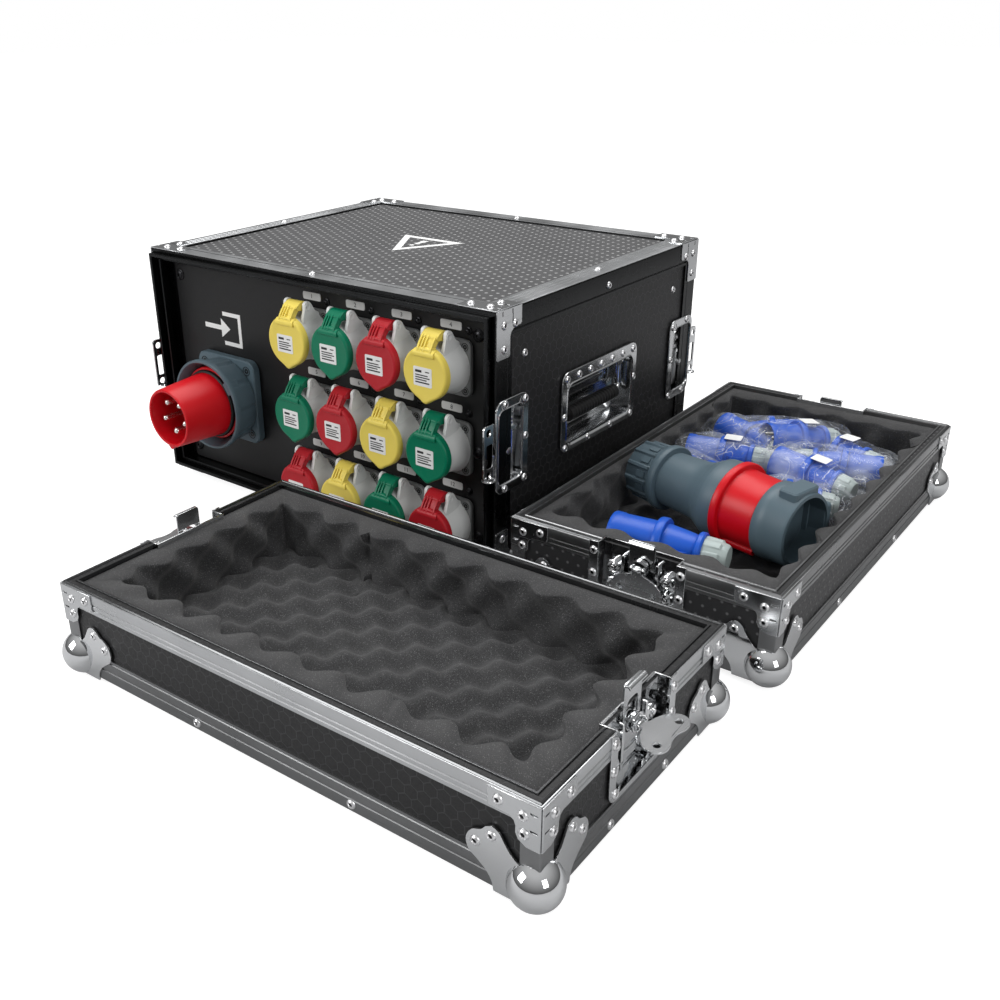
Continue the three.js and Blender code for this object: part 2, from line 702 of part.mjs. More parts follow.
const frontLid = lid('front', FOAM, ['left', 'right'], true);
frontLid.position.set(FRONT_LID.x, FRONT_LID.y, 0);
frontLid.rotation.z = FRONT_LID.yaw;
layout.add(frontLid);

// The rear lid lies with its long side along Y, so its own Y axis points to the case.
const rearLid = lid('rear', REAR_FOAM, ['front', 'back'], false);
rearLid.rotation.z = Math.PI / 2 + REAR_LID.yaw;
rearLid.position.set(
  REAR_LID.x + LID.width * Math.cos(REAR_LID.yaw),
  REAR_LID.y + LID.width * Math.sin(REAR_LID.yaw),
  0,
);
rearLid.add(laid(node('spare_connector', spareConnector(), inletGrey), 186, 146, 89, Math.PI - 0.24));
rearLid.add(laid(node('spare_plug', sparePlug(), plugBlue), 80, 150, 72, 0.14));
rearLid.add(node('bagged_plugs', bagLump(), plugBlue));
layout.add(rearLid);

const part = new THREE.Group();
part.name = 'power_distribution_box';
part.add(layout);
part.updateMatrixWorld(true);
const bounds = new THREE.Box3().setFromObject(part, true);
const middle = bounds.getCenter(new THREE.Vector3());
layout.position.set(-middle.x, -middle.y, -bounds.min.z);
part.updateMatrixWorld(true);

export default part;
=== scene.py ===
import math

import bpy
import numpy as np
from mathutils import Matrix, Vector
from mathutils.geometry import tessellate_polygon


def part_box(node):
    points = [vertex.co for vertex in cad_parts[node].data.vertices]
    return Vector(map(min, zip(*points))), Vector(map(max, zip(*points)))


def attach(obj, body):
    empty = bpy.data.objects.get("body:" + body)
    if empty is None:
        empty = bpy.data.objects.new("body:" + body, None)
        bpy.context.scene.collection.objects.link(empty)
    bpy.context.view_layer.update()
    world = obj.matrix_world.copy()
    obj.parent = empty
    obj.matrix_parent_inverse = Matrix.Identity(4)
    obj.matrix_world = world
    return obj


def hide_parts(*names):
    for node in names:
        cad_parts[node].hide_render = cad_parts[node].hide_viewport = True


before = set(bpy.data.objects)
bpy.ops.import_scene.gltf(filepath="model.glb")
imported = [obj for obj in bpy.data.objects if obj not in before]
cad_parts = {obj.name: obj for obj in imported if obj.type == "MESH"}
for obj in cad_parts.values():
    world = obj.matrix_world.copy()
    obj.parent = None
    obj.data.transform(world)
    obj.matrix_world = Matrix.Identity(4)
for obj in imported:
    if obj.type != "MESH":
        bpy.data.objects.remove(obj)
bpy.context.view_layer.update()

# A portable power distribution box: a rack case with its two lids off beside it.
# Shapes are worked out in millimetres in the frame of the piece that they belong to, and are
# put in their place, in metres, when their mesh is made.

MM = 0.001

# ---- Places ---------------------------------------------------------------------------------

CASE_WIDTH, CASE_DEPTH = 530.0, 430.0
CASE_BOTTOM, CASE_TOP = 14.0, 306.0
EDGE_FACE = 28.0  # how wide the case's edge profiles are
PANEL_Y = 15.0  # the front rack panel's face
LID_LENGTH, LID_WIDTH, LID_RIM = 530.0, 290.0, 99.0
FRONT_LID_TURN, REAR_LID_TURN = 0.02, math.pi / 2 + 0.0135
LATCH_Z = 79.0

COLUMNS = (261.5, 328.0, 394.5, 461.0)
ROWS = (237.5, 148.0, 58.5)
COVER_COLOURS = ("yellow", "green", "red") * 4


def matrix_of(origin, right, up, out):
    """A frame whose three directions are the matrix's columns and whose origin is its last one."""
    made = np.eye(4)
    made[:3, 0], made[:3, 1], made[:3, 2], made[:3, 3] = right, up, out, origin
    return made


def shifted(x, y, z):
    return matrix_of((x, y, z), (1, 0, 0), (0, 1, 0), (0, 0, 1))


def turned_by(angle):
    c, s = math.cos(angle), math.sin(angle)
    return matrix_of((0, 0, 0), (c, s, 0), (-s, c, 0), (0, 0, 1))


def facing(direction, origin=(0, 0, 0)):
    """The frame of a face seen from outside: across, up, and out of it."""
    axes = {
        "right": ((0, 1, 0), (0, 0, 1), (1, 0, 0)),
        "left": ((0, -1, 0), (0, 0, 1), (-1, 0, 0)),
        "front": ((1, 0, 0), (0, 0, 1), (0, -1, 0)),
        "rear": ((-1, 0, 0), (0, 0, 1), (0, 1, 0)),
        "top": ((1, 0, 0), (0, 1, 0), (0, 0, 1)),
        "bottom": ((1, 0, 0), (0, -1, 0), (0, 0, -1)),
    }[direction]
    return matrix_of(origin, *axes)


def lid_place(node, turn):
    """A lid lies about the middle of its shell's footprint, turned on the floor."""
    low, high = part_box(node)
    middle = (low + high) / 2 / MM
    return shifted(middle.x, middle.y, 0) @ turned_by(turn) @ shifted(-LID_LENGTH / 2, -LID_WIDTH / 2, 0)


case_low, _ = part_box("case_frame")
KEEPER_PROUD, STRIKE_REACH = 1.2, 18.0
CASE = shifted(case_low.x / MM + KEEPER_PROUD, case_low.y / MM + STRIKE_REACH, case_low.z / MM - CASE_BOTTOM)
FRONT_LID = lid_place("front_lid_shell", FRONT_LID_TURN)
REAR_LID = lid_place("rear_lid_shell", REAR_LID_TURN)

# ---- Surfaces -------------------------------------------------------------------------------
# A surface is its points and a list of (faces with the same number of sides, finish number).


def surface(points, *faces, finish=0):
    return np.asarray(points, float).reshape(-1, 3), [(np.asarray(f, int), finish) for f in faces if len(f)]


def joined(*parts):
    points, faces, count = [], [], 0
    for part_points, part_faces in parts:
        points.append(part_points)
        faces += [(f + count, number) for f, number in part_faces]
        count += len(part_points)
    return np.vstack(points), faces


def in_finish(part, number):
    return part[0], [(f, number) for f, _ in part[1]]


def placed(part, matrix):
    """The points through the matrix; a mirroring matrix turns each face round."""
    points = part[0] @ matrix[:3, :3].T + matrix[:3, 3]
    mirrored = np.linalg.det(matrix[:3, :3]) < 0
    return points, [(f[:, ::-1] if mirrored else f, number) for f, number in part[1]]


def ring_faces(rows, columns, close_rows=False):
    """Quads between neighbouring rows of points; the columns close on themselves."""
    i, j = np.meshgrid(np.arange(rows if close_rows else rows - 1), np.arange(columns), indexing="ij")
    k, n = (j + 1) % columns, (i + 1) % rows
    return np.stack([i * columns + j, i * columns + k, n * columns + k, n * columns + j], -1).reshape(-1, 4)


def stacked(loops, hoop=False):
    """Loops of points, one above the next: quads between them, and a cap on the first and last.
    Each loop runs anticlockwise seen from above. A hoop joins its last loop to its first."""
    loops = np.asarray(loops, float)
    rows, count = loops.shape[:2]
    if hoop:
        return surface(loops, ring_faces(rows, count, True))
    caps = [np.arange(count)[None, ::-1], (np.arange(count) + (rows - 1) * count)[None]]
    return surface(loops, ring_faces(rows, count), *caps)


def area_of(outline):
    """Half the sum of the cross products of neighbouring points: above 0 when anticlockwise."""
    x, y = np.asarray(outline, float).T
    return 0.5 * np.sum(x * np.roll(y, -1) - y * np.roll(x, -1))


def anticlockwise(outline):
    outline = np.asarray(outline, float)
    return outline if area_of(outline) > 0 else outline[::-1]


def rounded(width, height, radius, steps=5):
    """A rectangle with quarter circles of a radius at its corners, about its middle."""
    quarter = np.linspace(0, math.pi / 2, steps + 1)
    parts = []
    for number, (sx, sy) in enumerate(((1, 1), (-1, 1), (-1, -1), (1, -1))):
        angle = quarter + number * math.pi / 2
        parts.append(np.column_stack([
            sx * (width / 2 - radius) + radius * np.cos(angle),
            sy * (height / 2 - radius) + radius * np.sin(angle),
        ]))
    return np.vstack(parts)


def raised(outline, height):
    return np.column_stack([outline, np.full(len(outline), float(height))])


def moulding(levels, steps=5):
    """Rounded rectangles at rising levels: (width, height, corner radius, level), and for a level
    that is off the middle also how far across and how far up."""
    return stacked([raised(rounded(w, h, r, steps) + (tuple(off) or (0, 0)), level)
                    for w, h, r, level, *off in levels])


def turned(profile, sides=32, hoop=False, swell=None):
    """A profile of (radius, height) points swept round the third axis. A whole turn of a closed
    profile is a hoop; swell(angle) is added to every radius that is marked by a third value."""
    profile = np.asarray(profile, float)
    outline = profile[:, :2] if hoop else np.vstack([profile[:, :2],
                                                     [[0, profile[-1, 1]], [0, profile[0, 1]]]])
    if area_of(outline) < 0:
        profile = profile[::-1]
    angle = 2 * math.pi * np.arange(sides) / sides
    radius = profile[:, :1] + np.zeros(sides)
    if swell is not None:
        radius = radius + profile[:, 2:3] * swell(angle)[None]
    loops = np.stack([radius * np.cos(angle), radius * np.sin(angle), profile[:, 1:2] + np.zeros(sides)], -1)
    return stacked(loops, hoop)


def plate(outline, low, high, holes=()):
    """A flat sheet between two levels: walls on its outline and holes, and triangles across."""
    rings = [anticlockwise(outline)] + [anticlockwise(hole)[::-1] for hole in holes]
    flat = np.vstack(rings)
    count, walls, start = len(flat), [], 0
    for ring in rings:
        i = np.arange(len(ring))
        k = (i + 1) % len(ring)
        walls.append(np.column_stack([start + i, start + k, start + k + count, start + i + count]))
        start += len(ring)
    if holes:
        found = tessellate_polygon([[Vector((x, y, 0)) for x, y in ring] for ring in rings])
        top = np.array(found)
        corners = flat[top]
        edge_a, edge_b = corners[:, 1] - corners[:, 0], corners[:, 2] - corners[:, 0]
        over = edge_a[:, 0] * edge_b[:, 1] - edge_a[:, 1] * edge_b[:, 0] > 0
        top = np.where(over[:, None], top, top[:, ::-1])
    else:
        top = np.arange(count)[None]
    return surface(np.vstack([raised(flat, low), raised(flat, high)]), *walls, top[:, ::-1], top + count)


def edging(section, corners, closed=True):
    """A section of (inset, height) points carried along straight runs with mitred corners. The
    corners run anticlockwise, so that the inset points into the frame."""
    section, corners = anticlockwise(section), np.asarray(corners, float)
    run = np.roll(corners, -1, 0) - corners
    run /= np.linalg.norm(run, axis=1)[:, None]
    after = np.column_stack([-run[:, 1], run[:, 0]])
    before = np.roll(after, 1, 0)
    if not closed:
        before[0] = after[0]
        after[-1] = before[-1]
    mitre = (before + after) / (1 + np.sum(before * after, 1))[:, None]
    flat = corners[:, None] + mitre[:, None] * section[None, :, :1]
    height = np.broadcast_to(section[None, :, 1:], flat.shape[:2] + (1,))
    return stacked(np.concatenate([flat, height], -1), closed)


def wire(path, radius, normal, sides=10, closed=False):
    """A round section square to a path that lies in the plane with the given normal."""
    path, normal = np.asarray(path, float), np.asarray(normal, float)
    along = np.roll(path, -1, 0) - np.roll(path, 1, 0) if closed else np.gradient(path, axis=0)
    along /= np.linalg.norm(along, axis=1)[:, None]
    side = np.cross(normal, along)
    angle = 2 * math.pi * np.arange(sides) / sides
    loops = path[:, None] + radius * (
        np.cos(angle)[None, :, None] * side[:, None] + np.sin(angle)[None, :, None] * normal
    )
    return stacked(loops, closed)


def flowing(points, steps=5):
    """A closed Catmull-Rom curve through the points. A point given twice stays a sharp corner."""
    p = np.asarray(points, float)
    before, after, beyond = np.roll(p, 1, 0), np.roll(p, -1, 0), np.roll(p, -2, 0)
    t = (np.arange(steps) / steps)[None, :, None]
    curve = 0.5 * (
        2 * p[:, None] + (after - before)[:, None] * t
        + (2 * before - 5 * p + 4 * after - beyond)[:, None] * t**2
        + (3 * p - before - 3 * after + beyond)[:, None] * t**3
    )
    return curve[np.linalg.norm(after - p, axis=1) > 0].reshape(-1, p.shape[1])


def circle(radius, centre=(0, 0), sides=16):
    angle = 2 * math.pi * np.arange(sides) / sides
    return np.column_stack([centre[0] + radius * np.cos(angle), centre[1] + radius * np.sin(angle)])


def block(xs, ys, zs):
    """A squared bar between two corners."""
    outline = [(xs[0], ys[0]), (xs[1], ys[0]), (xs[1], ys[1]), (xs[0], ys[1])]
    return plate(outline, zs[0], zs[1])


def piece(name, part, place, body, finishes, stands_for=(), soften=0.0, smooth=38.0):
    """Makes the mesh of a surface in its place, rides it on its body, and rounds its edges."""
    points, faces = placed(part, place)
    mesh = bpy.data.meshes.new(name)
    corners = np.concatenate([f.ravel() for f, _ in faces])
    sides = np.concatenate([np.full(len(f), f.shape[1]) for f, _ in faces])
    marks = np.concatenate([np.full(len(f), number) for f, number in faces])
    mesh.vertices.add(len(points))
    mesh.vertices.foreach_set("co", (points * MM).astype(np.float32).ravel())
    mesh.loops.add(len(corners))
    mesh.loops.foreach_set("vertex_index", corners.astype(np.int32))
    mesh.polygons.add(len(sides))
    mesh.polygons.foreach_set("loop_start", (np.cumsum(sides) - sides).astype(np.int32))
    mesh.polygons.foreach_set("material_index", marks.astype(np.int32))
    mesh.polygons.foreach_set("use_smooth", np.ones(len(sides), bool))
    mesh.update(calc_edges=True)
    mesh.set_sharp_from_angle(angle=math.radians(smooth))
    for finish in finishes:
        mesh.materials.append(finish)
    made = bpy.data.objects.new(name, mesh)
    bpy.context.scene.collection.objects.link(made)
    if soften:
        bevel = made.modifiers.new("softened edges", "BEVEL")
        bevel.width, bevel.segments, bevel.limit_method = soften * MM, 2, "ANGLE"
        bevel.angle_limit = math.radians(50)
    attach(made, body)
    if stands_for:
        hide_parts(*stands_for)
    return made


# ---- Finishes -------------------------------------------------------------------------------


def add(tree, kind, inputs=(), **settings):
    """A node with its settings; inputs are numbers, colours or the sockets that feed it."""
    made = tree.nodes.new(kind)
    for key, value in settings.items():
        setattr(made, key, value)
    for key, value in (inputs.items() if isinstance(inputs, dict) else enumerate(inputs)):
        if isinstance(value, bpy.types.NodeSocket):
            tree.links.new(value, made.inputs[key])
        elif value is not None:
            made.inputs[key].default_value = value
    return made


def math_node(tree, operation, *values):
    return add(tree, "ShaderNodeMath", values, operation=operation).outputs[0]


def spread(tree, value, low, high, to_low=0.0, to_high=1.0):
    return add(tree, "ShaderNodeMapRange", (value, low, high, to_low, to_high)).outputs[0]


def colour_between(tree, share, first, second):
    return add(tree, "ShaderNodeMix", {0: share, 6: first, 7: second}, data_type="RGBA").outputs[2]


def group(name, inputs, outputs, build):
    """A shader node group with named numbers in and out, built once."""
    tree = bpy.data.node_groups.new(name, "ShaderNodeTree")
    for label, kind in inputs:
        tree.interface.new_socket(label, in_out="INPUT", socket_type=kind)
    for label, kind in outputs:
        tree.interface.new_socket(label, in_out="OUTPUT", socket_type=kind)
    build(tree, tree.nodes.new("NodeGroupInput").outputs, tree.nodes.new("NodeGroupOutput").inputs)
    return tree


NUMBER = "NodeSocketFloat"


def build_grain(tree, given, out):
    """Fine noise for a moulded or rolled surface, and broad noise for its slow changes."""
    place = add(tree, "ShaderNodeTexCoord").outputs["Object"]
    fine = add(tree, "ShaderNodeTexNoise", {"Vector": place, "Scale": given["Scale"], "Detail": 3.0})
    broad = add(tree, "ShaderNodeTexNoise", {"Vector": place, "Scale": 14.0, "Detail": 4.0})
    tree.links.new(fine.outputs[0], out["Fine"])
    tree.links.new(broad.outputs[0], out["Broad"])


def build_scratches(tree, given, out):
    """Hair lines: noise stretched along each of two directions, kept where it peaks."""
    place = add(tree, "ShaderNodeTexCoord").outputs["Object"]
    marks = None
    for stretch in ((700.0, 9.0, 260.0), (14.0, 520.0, 330.0)):
        long = add(tree, "ShaderNodeMapping", {"Vector": place, "Scale": stretch})
        noise = add(tree, "ShaderNodeTexNoise", {"Vector": long.outputs[0], "Scale": 1.0, "Detail": 2.0})
        line = spread(tree, noise.outputs[0], 0.63, 0.72)
        marks = line if marks is None else math_node(tree, "MAXIMUM", marks, line)
    patch = add(tree, "ShaderNodeTexNoise", {"Vector": place, "Scale": 9.0, "Detail": 2.0})
    where = spread(tree, patch.outputs[0], 0.5, 0.7)
    tree.links.new(math_node(tree, "MULTIPLY", marks, where), out["Marks"])


def build_cells(tree, given, out):
    """Hexagons on whichever face a point is on: the distance to a cell's edge and to its middle,
    in cell widths. Two shifted grids are compared, and the nearer middle wins."""
    place = add(tree, "ShaderNodeSeparateXYZ", (add(tree, "ShaderNodeTexCoord").outputs["Object"],)).outputs
    normal = add(tree, "ShaderNodeSeparateXYZ",
                 (add(tree, "ShaderNodeNewGeometry").outputs["Normal"],)).outputs
    level = math_node(tree, "GREATER_THAN", math_node(tree, "ABSOLUTE", normal[2]), 0.7)
    sideways = math_node(tree, "GREATER_THAN", math_node(tree, "ABSOLUTE", normal[0]), 0.7)
    not_front = math_node(tree, "MAXIMUM", level, sideways)
    across = add(tree, "ShaderNodeMix", {0: not_front, 2: place[0], 3: place[1]}).outputs[0]
    upward = add(tree, "ShaderNodeMix", {0: level, 2: place[2], 3: place[0]}).outputs[0]
    flat = add(tree, "ShaderNodeCombineXYZ", (across, upward, 0.0)).outputs[0]
    scaled = add(tree, "ShaderNodeVectorMath", {0: flat, 3: given["Cells per metre"]},
                 operation="SCALE").outputs[0]
    step, half = (1.0, math.sqrt(3), 1.0), (0.5, math.sqrt(3) / 2, 0.0)
    near = []
    for shift in ((0.0, 0.0, 0.0), half):
        moved = add(tree, "ShaderNodeVectorMath", (scaled, shift), operation="SUBTRACT").outputs[0]
        wrapped = add(tree, "ShaderNodeVectorMath", (moved, step, (0.0, 0.0, 0.0)),
                      operation="WRAP").outputs[0]
        near.append(add(tree, "ShaderNodeVectorMath", (wrapped, half), operation="SUBTRACT").outputs[0])
    far = [add(tree, "ShaderNodeVectorMath", (n,), operation="LENGTH").outputs["Value"] for n in near]
    first = math_node(tree, "LESS_THAN", far[0], far[1])
    best = add(tree, "ShaderNodeMix", {0: first, 4: near[1], 5: near[0]}, data_type="VECTOR").outputs[1]
    size = add(tree, "ShaderNodeVectorMath", (best,), operation="ABSOLUTE").outputs[0]
    slant = add(tree, "ShaderNodeVectorMath", (size, (0.5, math.sqrt(3) / 2, 0.0)), operation="DOT_PRODUCT")
    x = add(tree, "ShaderNodeSeparateXYZ", (size,)).outputs[0]
    reach = math_node(tree, "MAXIMUM", x, slant.outputs["Value"])
    tree.links.new(math_node(tree, "SUBTRACT", 0.5, reach), out["To edge"])
    tree.links.new(math_node(tree, "MINIMUM", far[0], far[1]), out["To middle"])


GRAIN = group("grain", [("Scale", NUMBER)], [("Fine", NUMBER), ("Broad", NUMBER)], build_grain)
SCRATCHES = group("scratches", [], [("Marks", NUMBER)], build_scratches)
CELLS = group("hexagon cells", [("Cells per metre", NUMBER)], [("To edge", NUMBER), ("To middle", NUMBER)],
              build_cells)


def placed_group(tree, made, **inputs):
    node = tree.nodes.new("ShaderNodeGroup")
    node.node_tree = made
    for key, value in inputs.items():
        node.inputs[key.replace("_", " ")].default_value = value
    return node.outputs


def bare_finish(name, **sockets):
    """A material with its Principled shader, whose constant sockets are set by name."""
    made = bpy.data.materials.new(name)
    made.use_nodes = True
    shader = made.node_tree.nodes["Principled BSDF"]
    for key, value in sockets.items():
        shader.inputs[key.replace("_", " ")].default_value = value
    return made.node_tree, shader, made


def feed(tree, shader, colour=None, roughness=None, height=None, depth=0.0003, strength=0.5):
    """Joins what is given to the shader; a height becomes a bump that is depth metres deep."""
    if colour is not None:
        tree.links.new(colour, shader.inputs["Base Color"])
    if roughness is not None:
        tree.links.new(roughness, shader.inputs["Roughness"])
    if height is not None:
        bump = add(tree, "ShaderNodeBump", {"Strength": strength, "Distance": depth, "Height": height})
        tree.links.new(bump.outputs[0], shader.inputs["Normal"])


def shade(colour, factor):
    return tuple(min(1.0, c * factor) for c in colour[:3]) + (1.0,)


def metal(name, colour, rough, wear=0.35, grain=900.0):
    """Rolled or plated metal: slow changes of tone, and hair lines that dull the polish."""
    tree, shader, made = bare_finish(name, Metallic=1.0)
    noise = placed_group(tree, GRAIN, Scale=grain)
    marks = placed_group(tree, SCRATCHES)["Marks"]
    tone = colour_between(tree, noise["Broad"], shade(colour, 0.8), shade(colour, 1.1))
    tone = colour_between(tree, math_node(tree, "MULTIPLY", marks, wear), tone, shade(colour, 0.45))
    base = spread(tree, noise["Broad"], 0.3, 0.7, rough * 0.75, rough * 1.3)
    roughness = math_node(tree, "ADD", base, math_node(tree, "MULTIPLY", marks, 0.22))
    feed(tree, shader, tone, roughness, noise["Fine"], 0.00004, 0.3)
    return made


def plastic(name, colour, rough=0.38, grain=1400.0, grip=0.00006, sheen=0.35):
    """Moulded plastic: a fine spark texture and a slightly uneven tone."""
    tree, shader, made = bare_finish(name, IOR=1.48, Specular_IOR_Level=sheen)
    noise = placed_group(tree, GRAIN, Scale=grain)
    tone = colour_between(tree, noise["Broad"], shade(colour, 0.86), shade(colour, 1.1))
    feed(tree, shader, tone, spread(tree, noise["Fine"], 0.3, 0.7, rough * 0.85, rough * 1.2),
         noise["Fine"], grip, 0.35)
    return made


def laminate(name, ground, line, cells, pattern, rough, width):
    """A printed and embossed face board: hexagon outlines, or a dot in the middle of each cell."""
    tree, shader, made = bare_finish(name, Specular_IOR_Level=0.35)
    noise = placed_group(tree, GRAIN, Scale=500.0)
    grid = placed_group(tree, CELLS, Cells_per_metre=cells)
    mark = spread(tree, grid[pattern], width, width * 0.55)
    tone = colour_between(tree, noise["Broad"], shade(ground, 0.75), shade(ground, 1.25))
    feed(tree, shader, colour_between(tree, mark, tone, line),
         spread(tree, noise["Fine"], 0.3, 0.7, rough * 0.8, rough * 1.25), mark, 0.0003, 0.5)
    return made


def foam_finish():
    """Open-cell foam: pores painted dark as the shade in them, painted pale glints where cell walls would
    catch the light, and a fine bump.
    """
    tree, shader, made = bare_finish("acoustic foam", Roughness=0.95, Sheen_Weight=0.12, Sheen_Roughness=0.6)
    shader.inputs["Specular IOR Level"].default_value = 0.15
    place = add(tree, "ShaderNodeTexCoord").outputs["Object"]
    pores = add(tree, "ShaderNodeTexNoise", {"Vector": place, "Scale": 1500.0, "Detail": 3.0}).outputs[0]
    patches = add(tree, "ShaderNodeTexNoise", {"Vector": place, "Scale": 18.0, "Detail": 2.0}).outputs[0]
    specks = add(tree, "ShaderNodeTexVoronoi", {"Vector": place, "Scale": 900.0}).outputs
    chosen = add(tree, "ShaderNodeSeparateColor", (specks[1],)).outputs[0]
    # Painted highlight: pale specks where cell walls would catch the light.
    painted_glint = math_node(tree, "MULTIPLY", spread(tree, specks[0], 0.36, 0.16), spread(tree, chosen, 0.5, 0.95))
    # Painted shade: the low places of the pore texture, which are also the bump's hollows, are darkened.
    tone = colour_between(tree, spread(tree, pores, 0.36, 0.62), (0.012, 0.012, 0.0125, 1),
                          (0.05, 0.05, 0.052, 1))
    tone = colour_between(tree, spread(tree, patches, 0.3, 0.8, 0.0, 0.35), tone, (0.055, 0.055, 0.055, 1))
    tone = colour_between(tree, painted_glint, tone, (0.2, 0.2, 0.2, 1))
    feed(tree, shader, tone, None, pores, 0.0009, 0.55)
    return made


def film_finish():
    """Thin clear film: nearly all see-through, milky in patches, and painted white along its creases as a
    highlight;
    the creases are the thin bands where a twisted noise crosses its middle value."""
    tree, shader, made = bare_finish("clear film", Roughness=0.1, Base_Color=(0.9, 0.94, 1.0, 1))
    place = add(tree, "ShaderNodeTexCoord").outputs["Object"]
    folds = add(tree, "ShaderNodeTexNoise", {"Vector": place, "Scale": 24.0, "Detail": 2.0,
                                             "Distortion": 1.8}).outputs[0]
    milky = add(tree, "ShaderNodeTexNoise", {"Vector": place, "Scale": 22.0, "Detail": 3.0}).outputs[0]
    away = math_node(tree, "ABSOLUTE", math_node(tree, "SUBTRACT", folds, 0.5))
    # Painted highlight: the film is made whiter and less clear along its creases.
    crease_highlight = spread(tree, away, 0.016, 0.0)
    haze = spread(tree, milky, 0.45, 0.72, 0.04, 0.3)
    tree.links.new(math_node(tree, "MAXIMUM", haze, math_node(tree, "MULTIPLY", crease_highlight, 0.45)),
                   shader.inputs["Alpha"])
    feed(tree, shader, None, None, folds, 0.006, 1.0)
    return made


def painted(name, colour, glow):
    """A floor sheet that the camera sees pale, and that lights and mirrors see a dull grey."""
    tree, shader, made = bare_finish(name, Roughness=0.8)
    noise = placed_group(tree, GRAIN, Scale=3.0)
    seen = add(tree, "ShaderNodeLightPath").outputs["Is Camera Ray"]
    pale = colour_between(tree, noise["Broad"], shade(colour, 0.99), shade(colour, 1.01))
    tree.links.new(colour_between(tree, seen, (0.5, 0.5, 0.505, 1), pale), shader.inputs["Base Color"])
    tree.links.new(colour_between(tree, seen, (0, 0, 0, 1), (1, 1, 1, 1)), shader.inputs["Emission Color"])
    shader.inputs["Emission Strength"].default_value = glow
    shader.inputs["Specular IOR Level"].default_value = 0.0
    return made


ALUMINIUM = metal("anodised aluminium", (0.55, 0.56, 0.57), 0.32)
# A darker copy of the anodised aluminium: painted shade for the lid profiles that face away from the light.
SHADED_LID_ALUMINIUM = metal("shaded aluminium", (0.25, 0.253, 0.257), 0.34)
# The case profiles' dark copy of the aluminium: painted shade on the faces that do not look up or down.
SHADED_SIDE_ALUMINIUM = metal("aluminium painted dark as side shade", (0.03, 0.031, 0.032), 0.26, 0.2)
STEEL = metal("stamped bright steel", (0.62, 0.63, 0.64), 0.17, 0.45)
CHROME = metal("polished chromium plate", (0.74, 0.75, 0.76), 0.06, 0.25, 300.0)
RIVET_STEEL = metal("rivet steel", (0.85, 0.85, 0.86), 0.3, 0.1)
CHANNEL = metal("tongue channel", (0.13, 0.132, 0.135), 0.2, 0.2)
SATIN_STEEL = metal("satin steel", (0.55, 0.56, 0.57), 0.3, 0.3)
DARK_STEEL = metal("blackened steel", (0.03, 0.03, 0.032), 0.35, 0.2)
NICKEL = metal("nickel-plated contact", (0.8, 0.79, 0.76), 0.2, 0.2)
COPPER = metal("copper bar", (0.72, 0.33, 0.18), 0.25)
BLACK_BOARD = laminate("black honeycomb laminate", (0.011, 0.011, 0.0115), (0.032, 0.032, 0.034, 1), 81.0,
                       "To edge", 0.42, 0.045)
# The top board's ground is painted a lighter grey as a painted reflection of the bright sky on its upward
# face; its dots are print.
SKY_LIT_BOARD = laminate("dotted laminate painted grey as sky reflection", (0.07, 0.07, 0.072), (0.34, 0.34, 0.34, 1), 81.0,
                      "To middle", 0.42, 0.19)
DOTTED_BOARD = laminate("dotted black laminate", (0.02, 0.02, 0.021), (0.1, 0.1, 0.103, 1), 81.0,
                        "To middle", 0.4, 0.15)
PANEL_PAINT = plastic("satin black powder coat", (0.009, 0.009, 0.0095, 1), 0.4, 900.0, sheen=0.3)
SOCKET_GREY = plastic("light grey plastic", (0.72, 0.73, 0.72, 1), 0.42)
FLANGE_GREY = plastic("flange grey plastic", (0.22, 0.225, 0.225, 1), 0.45)
COVER_FINISH = {
    "yellow": plastic("yellow plastic", (0.78, 0.62, 0.11, 1), 0.42),
    "green": plastic("green plastic", (0.001, 0.165, 0.085, 1), 0.36, sheen=0.28),
    "red": plastic("red plastic", (0.42, 0.012, 0.02, 1), 0.38, sheen=0.28),
}
INLET_GREY = plastic("blue-grey plastic", (0.085, 0.125, 0.15, 1), 0.4)
INLET_RED = plastic("inlet red plastic", (0.56, 0.003, 0.009, 1), 0.33, sheen=0.28)
PLUG_BLUE = plastic("blue plastic", (0.008, 0.085, 0.5, 1), 0.34)
PLUG_GREY = plastic("plug grey plastic", (0.36, 0.42, 0.41, 1), 0.42)
RUBBER = plastic("black rubber", (0.008, 0.008, 0.008, 1), 0.5, 700.0, 0.00012)
BREAKER_GREY = plastic("breaker grey plastic", (0.5, 0.5, 0.48, 1), 0.42)
LABEL = plastic("white label", (0.78, 0.78, 0.77, 1), 0.5, 500.0, 0.00002)
TAG_GREY = plastic("engraved grey tag", (0.6, 0.6, 0.59, 1), 0.45, 500.0, 0.00002)
BLACK = plastic("black moulding", (0.006, 0.006, 0.006, 1), 0.3, 700.0)
INK = plastic("dark print", (0.02, 0.02, 0.022, 1), 0.5, 500.0, 0.00002)
FOAM = foam_finish()
FILM = film_finish()

# ---- Fasteners ------------------------------------------------------------------------------

# The small disc in the rivet's hole takes the dark finish: painted shade in the hollow.
RIVET = joined(
    turned([(4.5, -0.4), (4.5, 0.3), (3.9, 1.2), (2.9, 1.9), (2.1, 1.8), (1.8, 0.9)], 14),
    in_finish(turned([(1.95, 0.5), (1.9, 1.05)], 10), 1),
)
CUP_SCREW = joined(
    turned([(7.2, 0.0), (7.0, 0.9), (5.6, 1.9), (4.9, 1.2)], 20),
    turned([(4.4, 0.6), (4.4, 1.7), (2.6, 2.7), (1.4, 2.7), (1.2, 1.6)], 16),
)
POCKET_SCREW = turned([(4.4, 0.0), (4.4, 0.5), (3.9, 0.6), (3.6, 0.1), (2.6, 0.1), (2.2, 0.5), (1.0, 0.5),
                       (0.8, 0.1)], 14)


def copies(part, places):
    """The same surface in each of several places, as one."""
    return joined(*[placed(part, place) for place in places])


# ---- Case: edge profiles, corner brackets, keepers ------------------------------------------


